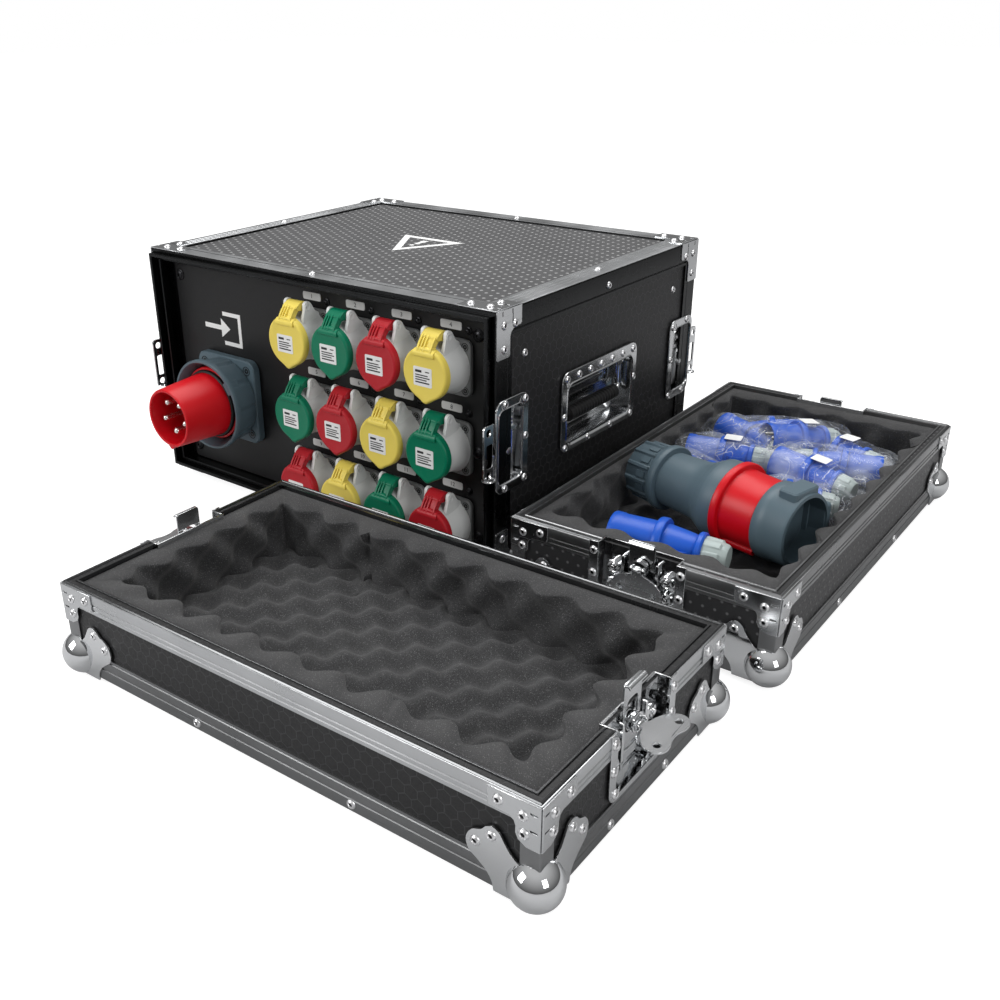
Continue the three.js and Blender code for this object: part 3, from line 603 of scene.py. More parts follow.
def angle_section(face, thickness, top_grooves, side_grooves, radius=2.5):
    """An L about its outer corner, as (inset along the first leg, inset along the second). Each
    groove is a notch 0.9 deep and 2.2 wide in its leg's outer face."""
    def notched(at):
        return [(at + 1.1, 0.0), (at, 0.9), (at - 1.1, 0.0)]

    top = [(face, 0.0)] + [p for at in sorted(top_grooves, reverse=True) for p in notched(at)]
    side = [(b, a) for a, b in reversed([q for at in sorted(side_grooves, reverse=True)
                                         for q in notched(at)])]
    angle = np.linspace(-math.pi / 2, -math.pi, 5)
    arc = [(radius + radius * math.cos(a), radius + radius * math.sin(a)) for a in angle]
    inner = [(0.0, face), (thickness, face), (thickness, thickness), (face, thickness)]
    return np.array(top + arc + side + inner)


def case_edges():
    """The four profiles that run from front to back, and the ring profile round each opening."""
    edges = []
    for x, z, top in ((0, CASE_TOP, 1), (CASE_WIDTH, CASE_TOP, 1), (0, CASE_BOTTOM, 0),
                      (CASE_WIDTH, CASE_BOTTOM, 0)):
        section = angle_section(EDGE_FACE, 2.0, (22.5, 16.0, 9.5), (24.0,))
        sign_x, sign_z = (1 if x == 0 else -1), (-1 if top else 1)
        outline = np.column_stack([x + sign_x * section[:, 0], z + sign_z * section[:, 1]])
        edges.append(placed(plate(outline, -402.0, -EDGE_FACE), facing("front")))
    section = [(0, -28), (0, -21.2), (0.7, -20.5), (0, -19.8), (0, -1.2), (1.2, 0), (3.6, 0), (4.4, -1.2),
               (5.0, -1.2), (5.0, 8.2), (5.8, 9), (8.2, 9), (9, 8.2), (9, -1.2), (9.8, -1.2), (10.6, 0),
               (12.6, 0), (13.6, -1), (13.6, -60), (11.6, -60), (11.6, -3), (2, -3), (2, -28)]
    corners = [(0, CASE_BOTTOM), (CASE_WIDTH, CASE_BOTTOM), (CASE_WIDTH, CASE_TOP), (0, CASE_TOP)]
    ring = edging(section, corners)
    mirrored = [(CASE_WIDTH - x, z) for x, z in corners][::-1]
    front = placed(ring, facing("front"))
    rear = placed(edging(section, [(x - CASE_WIDTH, z) for x, z in mirrored]),
                  facing("rear", (0, CASE_DEPTH, 0)))
    return edges, front, rear


def lit_top_shaded_sides(part):
    """Painted light and shade on one metal: faces near the top or bottom that look up or down keep the bright
    finish, and the rest take the second, dark one.
    """
    points, faces = part
    sorted_faces = []
    for f, _ in faces:
        corners = points[f]
        following = np.roll(corners, -1, 1)
        normal = np.cross(corners, following).sum(1)
        level = np.abs(normal[:, 2]) > 0.75 * np.linalg.norm(normal, axis=1)
        outer = (corners[:, :, 2].mean(1) > CASE_TOP - 2.5) | (corners[:, :, 2].mean(1) < CASE_BOTTOM + 2.5)
        sorted_faces += [(f[level & outer], 0), (f[~(level & outer)], 1)]
    return points, [(f, number) for f, number in sorted_faces if len(f)]


BRACKET = [(0, 0), (49, 0), (50, 1), (50, 21), (48, 23), (29, 23), (25, 24.5), (22, 28), (20.5, 33), (20, 41),
           (18, 43), (0, 43)]
BRACKET_RIVETS = ((16, 12.5), (17, 31.5), (40.5, 12.8))


def bracket_on(face):
    """A stamped corner plate on one face: a short L with cut corners and two stamped slots."""
    slots = [[(1.5, y - 0.8), (6.0, y - 0.8), (6.0, y + 0.8), (1.5, y + 0.8)] for y in (10.0, 27.0)]
    return placed(plate(BRACKET, 0.0, 1.2, slots), face)


def case_brackets():
    """Plates on the top or bottom and on the side at each of the eight corners."""
    plates, rivets = [], []
    for x, right in ((0.0, False), (CASE_WIDTH, True)):
        for y, rear in ((0.0, False), (CASE_DEPTH, True)):
            for z, top in ((CASE_BOTTOM, False), (CASE_TOP, True)):
                in_x = np.array((-1.0 if right else 1.0, 0, 0))
                in_y = np.array((0, -1.0 if rear else 1.0, 0))
                in_z = np.array((0, 0, -1.0 if top else 1.0))
                corner = (x, y, z)
                for first, second, out in ((in_x, in_y, -in_z), (in_z, in_y, -in_x)):
                    face = matrix_of(corner, first, second, out)
                    plates.append(bracket_on(face))
                    rivets += [face @ shifted(a, b, 1.2) for a, b in BRACKET_RIVETS]
    return plates, rivets


KEEPER_Z = 160.0
CATCH_RISE = 3.5
TONGUE_STEPS = ((1.0, -14.0), (1.0, -7.5), (0.93, -6.3), (0.7, -5.6))  # share of the outline, level


def keeper(side, y, inward):
    """A latch keeper: a pressed dish in a wide rim that is open towards the case's edge, a tongue
    with its screw and two studs in the dish, and a strike plate with a slot and two holes."""
    x, sign = (CASE_WIDTH, 1.0) if side == "right" else (0.0, -1.0)
    face = matrix_of((x, y, KEEPER_Z), (0, inward, 0), (0, 0, 1), (sign, 0, 0))
    rim = placed(moulding([
        (44, 80, 6, -12.6, -3, 0), (46, 84, 7, -4, -3, 0), (56, 102, 11, -1.4), (58, 104, 12, -0.6),
        (58, 104, 12, 0.6), (57, 103, 11.5, 1.3), (45.5, 85.5, 9, 1.3, -3.2, 0), (44, 84, 8, 2.1, -3.2, 0),
        (42.4, 82.4, 7.4, 1.3, -3.2, 0), (41, 81, 6, -2, -3, 0), (40, 80, 5, -9.5, -3, 0),
        (36, 76, 4, -11, -3, 0),
    ]), shifted(29, 0, 0))
    holes = [rounded(11, 26, 2, 2) + (-8.5, -3), circle(4.2, (-10, 23)), circle(4.2, (-10, -24))]
    strike = plate(rounded(30, 62, 4, 3) + (-3, 0), -3, -1, holes)
    tongue = flowing([(-13, -30), (12, -30), (14, -24), (11, 0), (8, 12), (4, 18), (0, 19.5), (-4, 18),
                      (-8, 12), (-12, 0), (-15, -24)], 3)
    stud = turned([(8, -14), (7.4, -9), (6, -8.2), (5.2, -9), (3.2, -9.2), (2.6, -5.6), (1.4, -5)], 20)
    catch = joined(
        placed(stacked([raised(tongue * k, h) for k, h in TONGUE_STEPS]), shifted(22, -6, 0)),
        placed(turned([(5, -8), (5, -4.4), (3.6, -3.2), (1.6, -3.0)], 18), shifted(25, -7, 0)),
        *[placed(stud, shifted(a, 27, 0)) for a in (14, 33)],
        placed(moulding([(34, 5, 2, -13), (33, 4.4, 2, -6.5)]), shifted(24, 15.5, 0)),
        placed(moulding([(30, 4.4, 2, -13), (29, 4, 2, -7.5)]), shifted(22, 36, 0)),
    )
    ring_path = raised(circle(6.5, (0, 0), 20), 0)[:, [0, 2, 1]]
    ring = placed(wire(ring_path, 1.1, (0, 1, 0), 8, True), shifted(-9, -29.5, -2))
    rivets = [face @ shifted(a, b, 1.2) for a, b in ((52, 44), (53, 2), (52, -46), (16, 47), (16, -47))]
    return ([in_finish(placed(rim, face), 1), placed(strike, face)],
            [in_finish(placed(catch, face @ shifted(0, 0, CATCH_RISE)), 2), placed(ring, face)], rivets)


edge_parts, front_ring, rear_ring = case_edges()
# Level faces of the profiles take painted light, and the rest take painted shade.
piece("case_edge_profiles", joined(*[lit_top_shaded_sides(p) for p in edge_parts + [front_ring, rear_ring]]), CASE, "case",
      [ALUMINIUM, SHADED_SIDE_ALUMINIUM], ("case_frame",))
bracket_parts, rivet_places = case_brackets()
piece("case_corner_brackets", joined(*bracket_parts), CASE, "case", [STEEL], soften=0.35)
keeper_parts = []
for keeper_side in ("left", "right"):
    for keeper_y, keeper_inward in ((0.0, 1.0), (CASE_DEPTH, -1.0)):
        plates, catches, places = keeper(keeper_side, keeper_y, keeper_inward)
        keeper_parts += plates + catches
        rivet_places += places
piece("lid_latch_keepers", joined(*keeper_parts), CASE, "case", [CHROME, STEEL, SATIN_STEEL],
      soften=0.25)

RAIL_X = ((12.0, 40.0), (490.0, 518.0))
rails = [block(xs, ys, (29.0, 291.0)) for xs in RAIL_X for ys in ((18.4, 20.4), (409.6, 411.6))]
piece("rack_rails", joined(*rails), CASE, "case", [DARK_STEEL], soften=0.3)

MIDDLE_Y = CASE_DEPTH / 2
for side in ("left", "right"):
    side_face = facing(side, (CASE_WIDTH if side == "right" else 0.0, 0, 0))
    sign = 1.0 if side == "right" else -1.0
    for y, z, out in ((MIDDLE_Y, 290.0, 0), (MIDDLE_Y, 30.0, 0), (54.0, 252.0, -2.3), (376.0, 252.0, -2.3),
                      (54.0, 62.0, -2.3), (376.0, 62.0, -2.3)):
        rivet_places.append(side_face @ shifted(sign * y, z, out))
for x in (15.0, CASE_WIDTH - 15.0):
    rivet_places.append(facing("top", (x, MIDDLE_Y, CASE_TOP)))
for y in (15.0, CASE_DEPTH - 15.0):
    rivet_places.append(facing("top", (CASE_WIDTH / 2, y, CASE_TOP)))

# ---- Case: side handles ---------------------------------------------------------------------

HANDLE_Y, HANDLE_Z = 205.5, 162.5
HANDLE_RIVETS = ([(a, 39.5) for a in (-72, -48, -24, 0, 24, 48, 72)]
                 + [(a, -42) for a in (-73, -25, 25, 73)] + [(76, 4), (-76, -4)])


def handle_dish():
    """A pressed dish: a flat rim, wider above, with a rolled edge, and a deep pan with a step."""
    dish = in_finish(moulding([
        (140, 70, 8, -29.5, 0, -3.5), (145, 76, 10, -4, 0, -3.5), (161, 93, 11, -1.2), (163, 95, 12, -0.4),
        (163, 95, 12, 0.8), (162, 94, 11.5, 1.5), (146, 76, 11, 1.5, 0, -3.8), (144, 74, 11, 2.6, 0, -3.8),
        (141, 71, 10, 1.5, 0, -3.8), (139.5, 69.5, 9, -2, 0, -3.5), (138, 68, 8, -24, 0, -3.5),
        (130, 60, 8, -28, 0, -3.5),
    ], 7), 1)
    stub = turned([(4.4, 0), (4.4, 7), (3, 8.2)], 14)
    pins = [placed(stub, matrix_of((s * 71, 26, -11), (0, 1, 0), (0, 0, -s), (-s, 0, 0))) for s in (-1, 1)]
    shelf = placed(moulding([(104, 20, 3, -28), (104, 20, 3, -22), (102, 18, 2.4, -20.6)]), shifted(0, 14, 0))
    stop = placed(moulding([(90, 3.4, 1.4, -21), (88, 2.6, 1, -18.8)]), shifted(0, 13, 0))
    return joined(dish, shelf, stop, *pins)


def handle_bail():
    """A bent bar: two legs from their eyes down to the grip, with quarter-round bends."""
    angle = np.linspace(0, math.pi / 2, 7)
    bend = 9.0
    right = np.column_stack([61 - bend + bend * np.cos(angle), -10 + bend - bend * np.sin(angle)])
    half = np.vstack([[(61, 26)], [(61, 8)], right])
    path = np.vstack([half, (half * (-1, 1))[::-1]])
    bar = wire(np.column_stack([path, np.full(len(path), -11.0)]), 3.6, (0, 0, 1), 12)
    eyes = [placed(turned([(6, -2.6), (6.4, -1.6), (6.4, 1.6), (6, 2.6)], 18),
                   facing("right", (s * 61, 26, -11))) for s in (-1, 1)]
    return joined(bar, *eyes)


def handle_grip():
    """A rubber sleeve with shallow rings: its radius rises and falls along its length."""
    along = np.linspace(-51, 51, 69)
    radius = 8.4 + 0.5 * np.cos(2 * math.pi * along / 6.0) * (np.abs(along) < 44)
    profile = np.column_stack([radius, along])
    ends = np.vstack([[(6.5, -52)], profile, [(6.5, 52)]])
    return placed(turned(ends, 20), facing("right", (0, -10, -11)))


for side in ("left", "right"):
    place = CASE @ facing(side, (CASE_WIDTH if side == "right" else 0.0, HANDLE_Y, HANDLE_Z))
    piece(f"{side}_handle_pan", handle_dish(), place, "case", [CHROME, STEEL],
          (f"{side}_handle_dish",))
    piece(f"{side}_bail_bar", handle_bail(), place, f"{side}_bail", [CHROME],
          (f"{side}_handle_bail",))
    piece(f"{side}_bail_grip", handle_grip(), place, f"{side}_bail", [RUBBER])
    local = np.linalg.inv(CASE) @ place
    rivet_places += [local @ shifted(a, b, 1.5) for a, b in HANDLE_RIVETS]

piece("case_rivets", copies(RIVET, rivet_places), CASE, "case", [RIVET_STEEL, DARK_STEEL])

# ---- Case: boards, panels, feet -------------------------------------------------------------

for node, finish in (("top_panel", SKY_LIT_BOARD), ("left_panel", BLACK_BOARD), ("right_panel", BLACK_BOARD),
                     ("front_rack_panel", PANEL_PAINT), ("rear_rack_panel", PANEL_PAINT),
                     ("terminal_block", COPPER)):
    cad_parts[node].data.materials.clear()
    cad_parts[node].data.materials.append(finish)


def foot():
    """A turned rubber foot with a rounded tread and the head of its screw inside."""
    return turned([(9, 1.5), (15.5, 0), (17, 2), (17.8, 13), (18.5, 16.6), (17, 17)], 24)


board = plate([(2.3, 3.3), (527.7, 3.3), (527.7, 426.7), (2.3, 426.7)], 16.3, 25.3)
feet = [in_finish(placed(foot(), shifted(x, y, 0)), 1) for x in (58, 472) for y in (52, 378)]
piece("base_board_and_feet", joined(board, *feet), CASE, "case", [BLACK_BOARD, RUBBER],
      ("bottom_panel",), soften=0.4)

panel_face = facing("front", (0, PANEL_Y, 0))
rear_face = facing("rear", (CASE_WIDTH, CASE_DEPTH - PANEL_Y, 0))
RACK_SCREWS = [(265 + a * 232.5, z) for a in (-1, 1) for z in (46, 145, 274)]
rack_screws = [face @ shifted(x, z, 0) for face in (panel_face, rear_face) for x, z in RACK_SCREWS]
piece("rack_screws", copies(CUP_SCREW, rack_screws), CASE, "case", [DARK_STEEL])

# ---- Sockets --------------------------------------------------------------------------------
# In a socket's frame the third axis points out of the panel, and the cover's pin is above it.

PIN_UP, PIN_OUT = 37.0, 23.0


def socket_body():
    """A square flange with a rounded edge, a bell that flares to it, and a lip round its mouth."""
    flange = in_finish(moulding([(59.5, 59.5, 8, 0.3), (61, 61, 8.5, 1.2), (61, 61, 8.5, 4.6),
                                 (59, 59, 8, 5.8), (40, 40, 18, 6.0)], 6), 1)
    height = np.linspace(5.6, 33.6, 12)
    flare = 25.5 + 4.8 * np.exp(-(height - 5.6) / 10.0)
    mouth = [(24.8, 34.8), (21.2, 34.9), (20.5, 34.2), (20.5, 13), (19, 12)]
    bell = turned([(22, -2)] + list(zip(flare, height)) + mouth, 40)
    return joined(flange, bell)


def hinge_ears():
    """Two gussets that rise from the flange to the pin, each with a raised boss round it."""
    outline = flowing([(-5.5, 27), (-4.8, 12), (-20, 14), (-31.5, 20), (-28.4, 33), (-27, 41.3), (-22, 43.4),
                       (-17.6, 40.6), (-12, 32)], 4)
    ears = []
    for s in (-1, 1):
        to_ear = matrix_of((s * 14.8, 0, 0), (0, 0, -1), (0, 1, 0), (1, 0, 0))
        ears.append(placed(plate(outline, -2.0, 2.0), to_ear))
        out = matrix_of((s * 16.6, PIN_UP, PIN_OUT), (0, s, 0), (0, 0, 1), (s, 0, 0))
        ears.append(placed(turned([(4.4, -0.4), (4.2, 0.7), (3.2, 1.1), (2.4, 0.5)], 18), out))
    pin = placed(turned([(1.9, -13.4), (1.9, 13.4)], 12), facing("right", (0, PIN_UP, PIN_OUT)))
    return joined(*ears, in_finish(pin, 2))


def cover_outline(scale):
    """A circle whose lowest stretch runs out to a rounded point: the radius gains 3.2 there."""
    angle = 2 * math.pi * np.arange(72) / 72
    below = np.abs((angle - 1.5 * math.pi + math.pi) % (2 * math.pi) - math.pi)
    radius = 28.4 + 3.4 * np.exp(-(below / 0.19) ** 2) + 0.6 * np.exp(-(below / 0.45) ** 2)
    return np.column_stack([radius * np.cos(angle), radius * np.sin(angle)]) * scale


def cover_disc():
    levels = ((0.985, 35.5), (1.0, 36.0), (1.0, 41.6), (0.985, 43.0), (0.95, 43.8), (0.9, 44.0))
    inner = ((0.86, 43.8), (0.84, 43.65), (0.3, 43.7))
    return stacked([raised(cover_outline(scale), level) for scale, level in levels + inner])


def cover_arm():
    """The arm from the disc to the pin: a smooth tile over the barrel, a thin web below it with
    three fins, and a collar across the top of the disc. Side views are drawn as (out, up)."""
    across = matrix_of((0, 0, 0), (0, 0, 1), (0, 1, 0), (-1, 0, 0))
    tile = [(18.0, 36), (18.6, 41), (22.4, 42.8), (27.6, 42.2), (33.0, 39.2), (35.4, 36.6), (33.0, 34.0),
            (26, 33.2)]
    web = [(43.4, 21), (38.4, 21), (36.2, 24.6), (31.6, 30.6), (27.4, 34.4), (32.4, 38.2), (36.6, 34.4),
           (40.2, 28.8)]
    fin = [(45.2, 20.5), (40, 21), (35, 28), (30, 35), (33.4, 39.0), (37.4, 36.0), (41.4, 31.0), (44.2, 26.0)]
    collar = [(45.6, 19.0), (41.0, 18.0), (37.8, 20.0), (38.0, 24.6), (41.6, 25.8), (45.0, 23.6)]
    parts = [placed(plate(flowing(shape, 3), -half, half), across)
             for shape, half in ((tile, 10.8), (web, 8.6), (collar, 13.4))]
    parts += [placed(plate(flowing(fin, 3), x - w, x + w), across)
              for x, w in ((-8.4, 1.1), (0.6, 1.0), (4.6, 0.8), (8.4, 1.1))]
    barrel = turned([(4.6, -11.2), (5.5, -10.4), (5.5, 10.4), (4.6, 11.2)], 20)
    parts.append(placed(barrel, facing("right", (0, PIN_UP, PIN_OUT))))
    return joined(*parts)


def cover_label():
    """A white label with plain ruled bars, and no words."""
    paper = placed(plate(rounded(24, 20.5, 1.2, 2), 43.6, 43.95), shifted(-2.0, -3.0, 0))
    bars = []
    for up, left, width, thick in ((5.6, -9.6, 8.5, 2.6), (5.8, 3.4, 5.5, 1.2), (1.6, -9.6, 16.5, 1.2),
                                   (-0.9, -9.6, 19.0, 1.2), (-3.4, -9.6, 15.0, 1.2), (-6.2, -9.6, 18.5, 1.5)):
        bars.append(placed(plate(rounded(width, thick, 0.3, 1), 43.9, 44.03),
                           shifted(-2.0 + left + width / 2, up - 3.0, 0)))
    return joined(paper, in_finish(joined(*bars), 1))


SOCKET, EARS, DISC, ARM, COVER_LABEL = socket_body(), hinge_ears(), cover_disc(), cover_arm(), cover_label()
screw_places = []
number = 0
tag_parts, bead_parts = [], []
for row in ROWS:
    for column in COLUMNS:
        number += 1
        at = panel_face @ shifted(column, row, 0)
        colour = COVER_COLOURS[number - 1]
        piece(f"socket_{number}", joined(SOCKET, EARS), CASE @ at, "case", [SOCKET_GREY, FLANGE_GREY, NICKEL],
              (f"socket_housing_{number}",), soften=0.5)
        piece(f"flip_cover_{number}", joined(DISC, ARM), CASE @ at, f"cover_{number}", [COVER_FINISH[colour]],
              (f"socket_cover_{number}",), soften=0.45)
        piece(f"cover_label_{number}", COVER_LABEL, CASE @ at, f"cover_{number}", [LABEL, INK])
        screw_places += [at @ shifted(a, b, 5.7) for a in (-23.5, 23.5) for b in (-23.5, 23.5)]
        tag_parts.append(placed(moulding([(27, 8, 2, 0.05), (28, 9, 2.2, 0.3), (27.4, 8.4, 2, 0.75)], 3),
                                at @ shifted(1.5, 42.5, 0)))
        bead_parts.append(placed(turned([(4.2, 0), (4.0, 1.2), (3.2, 1.6), (2.6, 3.0), (1.2, 3.9)], 16),
                                 at @ shifted(24.5, 39.5, 0)))
piece("socket_screws", copies(POCKET_SCREW, screw_places), CASE, "case", [BLACK])
piece("outlet_tags", joined(*tag_parts), CASE, "case", [TAG_GREY])
piece("outlet_lamps", joined(*bead_parts), CASE, "case", [DARK_STEEL])


def numerals():
    """The outlet numbers on their tags, as thin raised print."""
    parts = []
    for index in range(12):
        text = bpy.data.curves.new("numeral", "FONT")
        text.body, text.size, text.align_x, text.align_y = str(index + 1), 7.0, "CENTER", "CENTER"
        text.extrude, text.resolution_u = 0.06, 2
        holder = bpy.data.objects.new("numeral", text)
        bpy.context.scene.collection.objects.link(holder)
        bpy.context.view_layer.update()
        mesh = bpy.data.meshes.new_from_object(holder)
        co = np.zeros(len(mesh.vertices) * 3)
        mesh.vertices.foreach_get("co", co)
        mesh.calc_loop_triangles()
        triangles = np.zeros(len(mesh.loop_triangles) * 3, int)
        mesh.loop_triangles.foreach_get("vertices", triangles)
        at = panel_face @ shifted(COLUMNS[index % 4] + 1.5, ROWS[index // 4] + 42.5, 0.85)
        parts.append(placed(surface(co, triangles.reshape(-1, 3)), at))
        bpy.data.objects.remove(holder)
        bpy.data.curves.remove(text)
        bpy.data.meshes.remove(mesh)
    return joined(*parts)


piece("outlet_numbers", numerals(), CASE, "case", [INK])


def top_sign():
    """A plain warning triangle with a bar and a dot, pointing to the front, as thin print."""
    def corners(radius):
        angle = np.array((-math.pi / 2, math.pi / 6, 5 * math.pi / 6))
        return np.column_stack([radius * np.cos(angle), radius * np.sin(angle)])

    outline = plate(corners(55), 0, 0.12, [corners(38)])
    bar = plate([(-2.2, -10), (2.2, -10), (4.4, 12), (-4.4, 12)], 0, 0.12)
    dot = plate(circle(3.2, (0, -17)), 0, 0.12)
    return placed(joined(outline, bar, dot), shifted(252, 222, CASE_TOP - 2.3))


def input_sign():
    """An arrow into a three-sided box: the usual mark for an input, as thin print."""
    arrow = [(-36, -3), (-6, -3), (-6, -12), (10, 0), (-6, 12), (-6, 3), (-36, 3)]
    box = [(-2, -21), (30, -21), (30, 21), (-2, 21), (-2, 16), (25, 16), (25, -16), (-2, -16)]
    return placed(joined(plate(arrow, 0.02, 0.14), plate(box, 0.02, 0.14)), panel_face @ shifted(107, 217, 0))


piece("printed_signs", joined(top_sign(), input_sign()), CASE, "case", [LABEL])

# ---- Inlet ----------------------------------------------------------------------------------

INLET = panel_face @ shifted(114.0, 132.0, 0)


def ring_grooves(angle):
    """Ten narrow dips round the ring, each 1.6 deep."""
    step = 2 * math.pi / 10
    off = (angle + step / 2) % step - step / 2
    return -1.6 * np.exp(-((off / 0.05) ** 4))


inlet_flange = moulding([(98, 103, 11, 0.3), (101, 106, 12, 1.4), (101, 106, 12, 9.6),
                         (98.6, 103.6, 11, 11.0), (80, 84, 30, 11.2)], 8)
inlet_neck = turned([(40, -30), (40.3, 5), (45.6, 10.2), (46, 11), (46, 18.6), (44, 19)], 48)
piece("inlet_base", joined(inlet_flange, inlet_neck), CASE @ INLET, "case", [INLET_GREY],
      ("inlet_housing",))
ring_profile = [(46.8, 11.6, 0), (49.6, 11.5, 0), (51.4, 12.6, 1), (52.2, 20, 1), (53.2, 30, 1),
                (54.2, 39.6, 1), (56.2, 40.6, 0), (56.5, 42, 0), (56.5, 46.8, 0), (55.8, 47.9, 0),
                (53.4, 47.9, 0), (52.6, 47, 0), (49.6, 40, 0), (46.8, 30, 0)]
notch = placed(moulding([(16, 5.4, 1.2, 30), (16, 5.4, 1.2, 47.4), (14.6, 4.4, 1, 48)], 3),
               turned_by(0.6) @ matrix_of((50.6, 0, 0), (0, 1, 0), (-1, 0, 0), (0, 0, 1)))
piece("bayonet_ring", joined(turned(ring_profile, 180, True, ring_grooves), notch), CASE @ INLET,
      "locking_ring", [INLET_GREY], ("inlet_locking_ring",))
sleeve = turned([(44, 19.3), (45.4, 21), (45.6, 36.4), (45.0, 37.8), (42.4, 38.2), (40.2, 38.4), (39.7, 40),
                 (35.9, 105), (35.2, 106.6), (33.6, 107), (32.2, 106.4), (31.6, 104), (33.8, 38), (33, 34)],
                 56)
key = plate(flowing([(-5.5, -32.5), (5.5, -32.5), (4.2, -36.4), (0, -39.4), (-4.2, -36.4)], 4), 62, 106.5)
gasket = in_finish(turned([(39.6, 37.6), (42.4, 37.8), (42.8, 39.6), (42.2, 42.0), (39.8, 43.0),
                           (39.0, 41.0)], 56, True), 1)
piece("inlet_shroud", joined(sleeve, key, gasket), CASE @ INLET, "case", [INLET_RED, RUBBER],
      ("inlet_sleeve",), soften=0.3)


def inlet_pins():
    """Five round-ended pins in a ring, the lowest the thickest, on an insulating plate."""
    insert = turned([(29.8, 34.4), (29.8, 41), (28.4, 42), (8, 42), (7, 44), (4, 44.4)], 40)
    pins = []
    for index in range(5):
        angle = -math.pi / 2 + index * 2 * math.pi / 5
        radius = 3.9 if index else 4.7
        profile = [(radius, 40), (radius, 95), (radius * 0.85, 97.4), (radius * 0.45, 98.8),
                   (radius * 0.12, 99)]
        at = shifted(19 * math.cos(angle), 19 * math.sin(angle), 0)
        pins.append(placed(turned(profile, 20), at))
        pins.append(in_finish(placed(turned([(6.6, 41), (6.4, 45), (5.4, 45.8)], 20), at), 1))
    return joined(in_finish(insert, 1), *pins)


piece("inlet_pins", inlet_pins(), CASE @ INLET, "case", [NICKEL, INLET_RED],
      ("inlet_contacts",))
piece("inlet_screws", copies(placed(POCKET_SCREW, np.diag([1.35, 1.35, 1.35, 1])),
      [INLET @ shifted(a, b, 10.9) for a in (-38, 38) for b in (-41, 41)]), CASE, "case", [BLACK])

# ---- Rear: breakers behind their window -----------------------------------------------------

MODULE = 17.9


def breaker_row():
    """Eighteen modules side by side: a body, a nose with a slot, and a toggle on each."""
    y_face = CASE_DEPTH - PANEL_Y - 3
    body = block((100, 430), (y_face - 62, y_face - 4), (128, 212))
    rail = block((65, 465), (y_face - 70, y_face - 62.1), (153, 187))
    noses, toggles = [], []
    for index in range(18):
        x = 104 + MODULE * index + MODULE / 2
        at = facing("rear", (x, y_face - 4.5, 170))
        noses.append(placed(moulding([(17.2, 45, 1, 0), (17.2, 45, 1, 8.6), (16, 43.6, 1, 9.8),
                                      (9, 24, 1, 10), (8.4, 23, 1, 7.4)], 2), at))
        toggles.append(placed(moulding([(6.6, 14, 1.4, 7), (6.4, 13, 1.4, 10), (5.6, 5, 1.4, 17)], 3), at))
    return joined(body, *noses, in_finish(joined(*toggles), 1), in_finish(rail, 2))


piece("breakers", breaker_row(), CASE, "case", [BREAKER_GREY, RUBBER, STEEL],
      ("breaker_bank",), soften=0.3)

# ---- Lids -----------------------------------------------------------------------------------

LATCH_HALF = 42.0
MIDDLE = LID_WIDTH / 2


def lid_run(right, inset_gap=0.0):
    """Half of the lid's edge line: round the long side that lies behind or in front of the
    latches, from one latch opening to the other, anticlockwise."""
    half = LATCH_HALF + inset_gap
    if right:
        return [(LID_LENGTH, MIDDLE + half), (LID_LENGTH, LID_WIDTH), (0, LID_WIDTH), (0, MIDDLE + half)]
    return [(0, MIDDLE - half), (0, 0), (LID_LENGTH, 0), (LID_LENGTH, MIDDLE - half)]


def lid_boards():
    """The walls in two runs, the low walls under the latches, and the floor."""
    wall = [(1.5, 5.5), (11, 5.5), (11, 97), (1.5, 97)]
    parts = [edging(wall, lid_run(right), False) for right in (False, True)]
    half = LATCH_HALF
    parts += [block(xs, (MIDDLE - half, MIDDLE + half), (5.5, 36.3)) for xs in ((1.5, 11), (519, 528.5))]
    parts.append(block((10.9, 519.1), (10.9, 279.1), (5.6, 16)))
    return joined(*parts)


def lid_profiles():
    """The grooved rim band, the black two-lipped tongue channel on it, the ribbed base profile, and
    the four upright corner angles."""
    band = [(0, 77), (0, 80.4), (0.9, 81.0), (0.9, 82.0), (0, 82.6), (0, 85.4), (0.9, 86.0), (0.9, 87.0),
            (0, 87.6), (0, 96.2), (0.6, 97.4), (1.2, 97.6), (1.2, 77)]
    channel = [(1.1, 89), (1.1, 98.0), (2.0, 99), (3.4, 98.8), (4.2, 97.6), (4.4, 92), (9.1, 92), (9.1, 97.4),
               (9.8, 98.4), (11.3, 98.4), (11.3, 89)]
    base = [(0, 32), (0, 29.6), (0.8, 29.0), (0.8, 28.2), (0, 27.6), (0, 19.4), (0.9, 18.8), (0.9, 17.4),
            (0, 16.8), (0, 6.2), (2.2, 4), (28, 4), (28, 5.5), (2.6, 5.6), (1.6, 6.6), (1.6, 32)]
    around = [(0, 0), (LID_LENGTH, 0), (LID_LENGTH, LID_WIDTH), (0, LID_WIDTH)]
    parts = [edging(band, lid_run(right), False) for right in (False, True)]
    parts += [in_finish(edging(channel, lid_run(right), False), 1) for right in (False, True)]
    parts.append(in_finish(edging(base, around), 2))
    for x, y in around:
        section = angle_section(17.0, 1.2, (), (), 1.5)
        sx, sy = (1 if x == 0 else -1), (1 if y == 0 else -1)
        outline = np.column_stack([x + sx * section[:, 0], y + sy * section[:, 1]])
        parts.append(in_finish(plate(outline, 31.5, 77.5), 2))
    return joined(*parts)


def lid_seal():
    """The black strip that lies in the rim's groove."""
    section = [(4.5, 92), (8.9, 92), (8.9, 94.4), (6.7, 95.4), (4.5, 94.4)]
    return joined(*[edging(section, lid_run(right), False) for right in (False, True)])


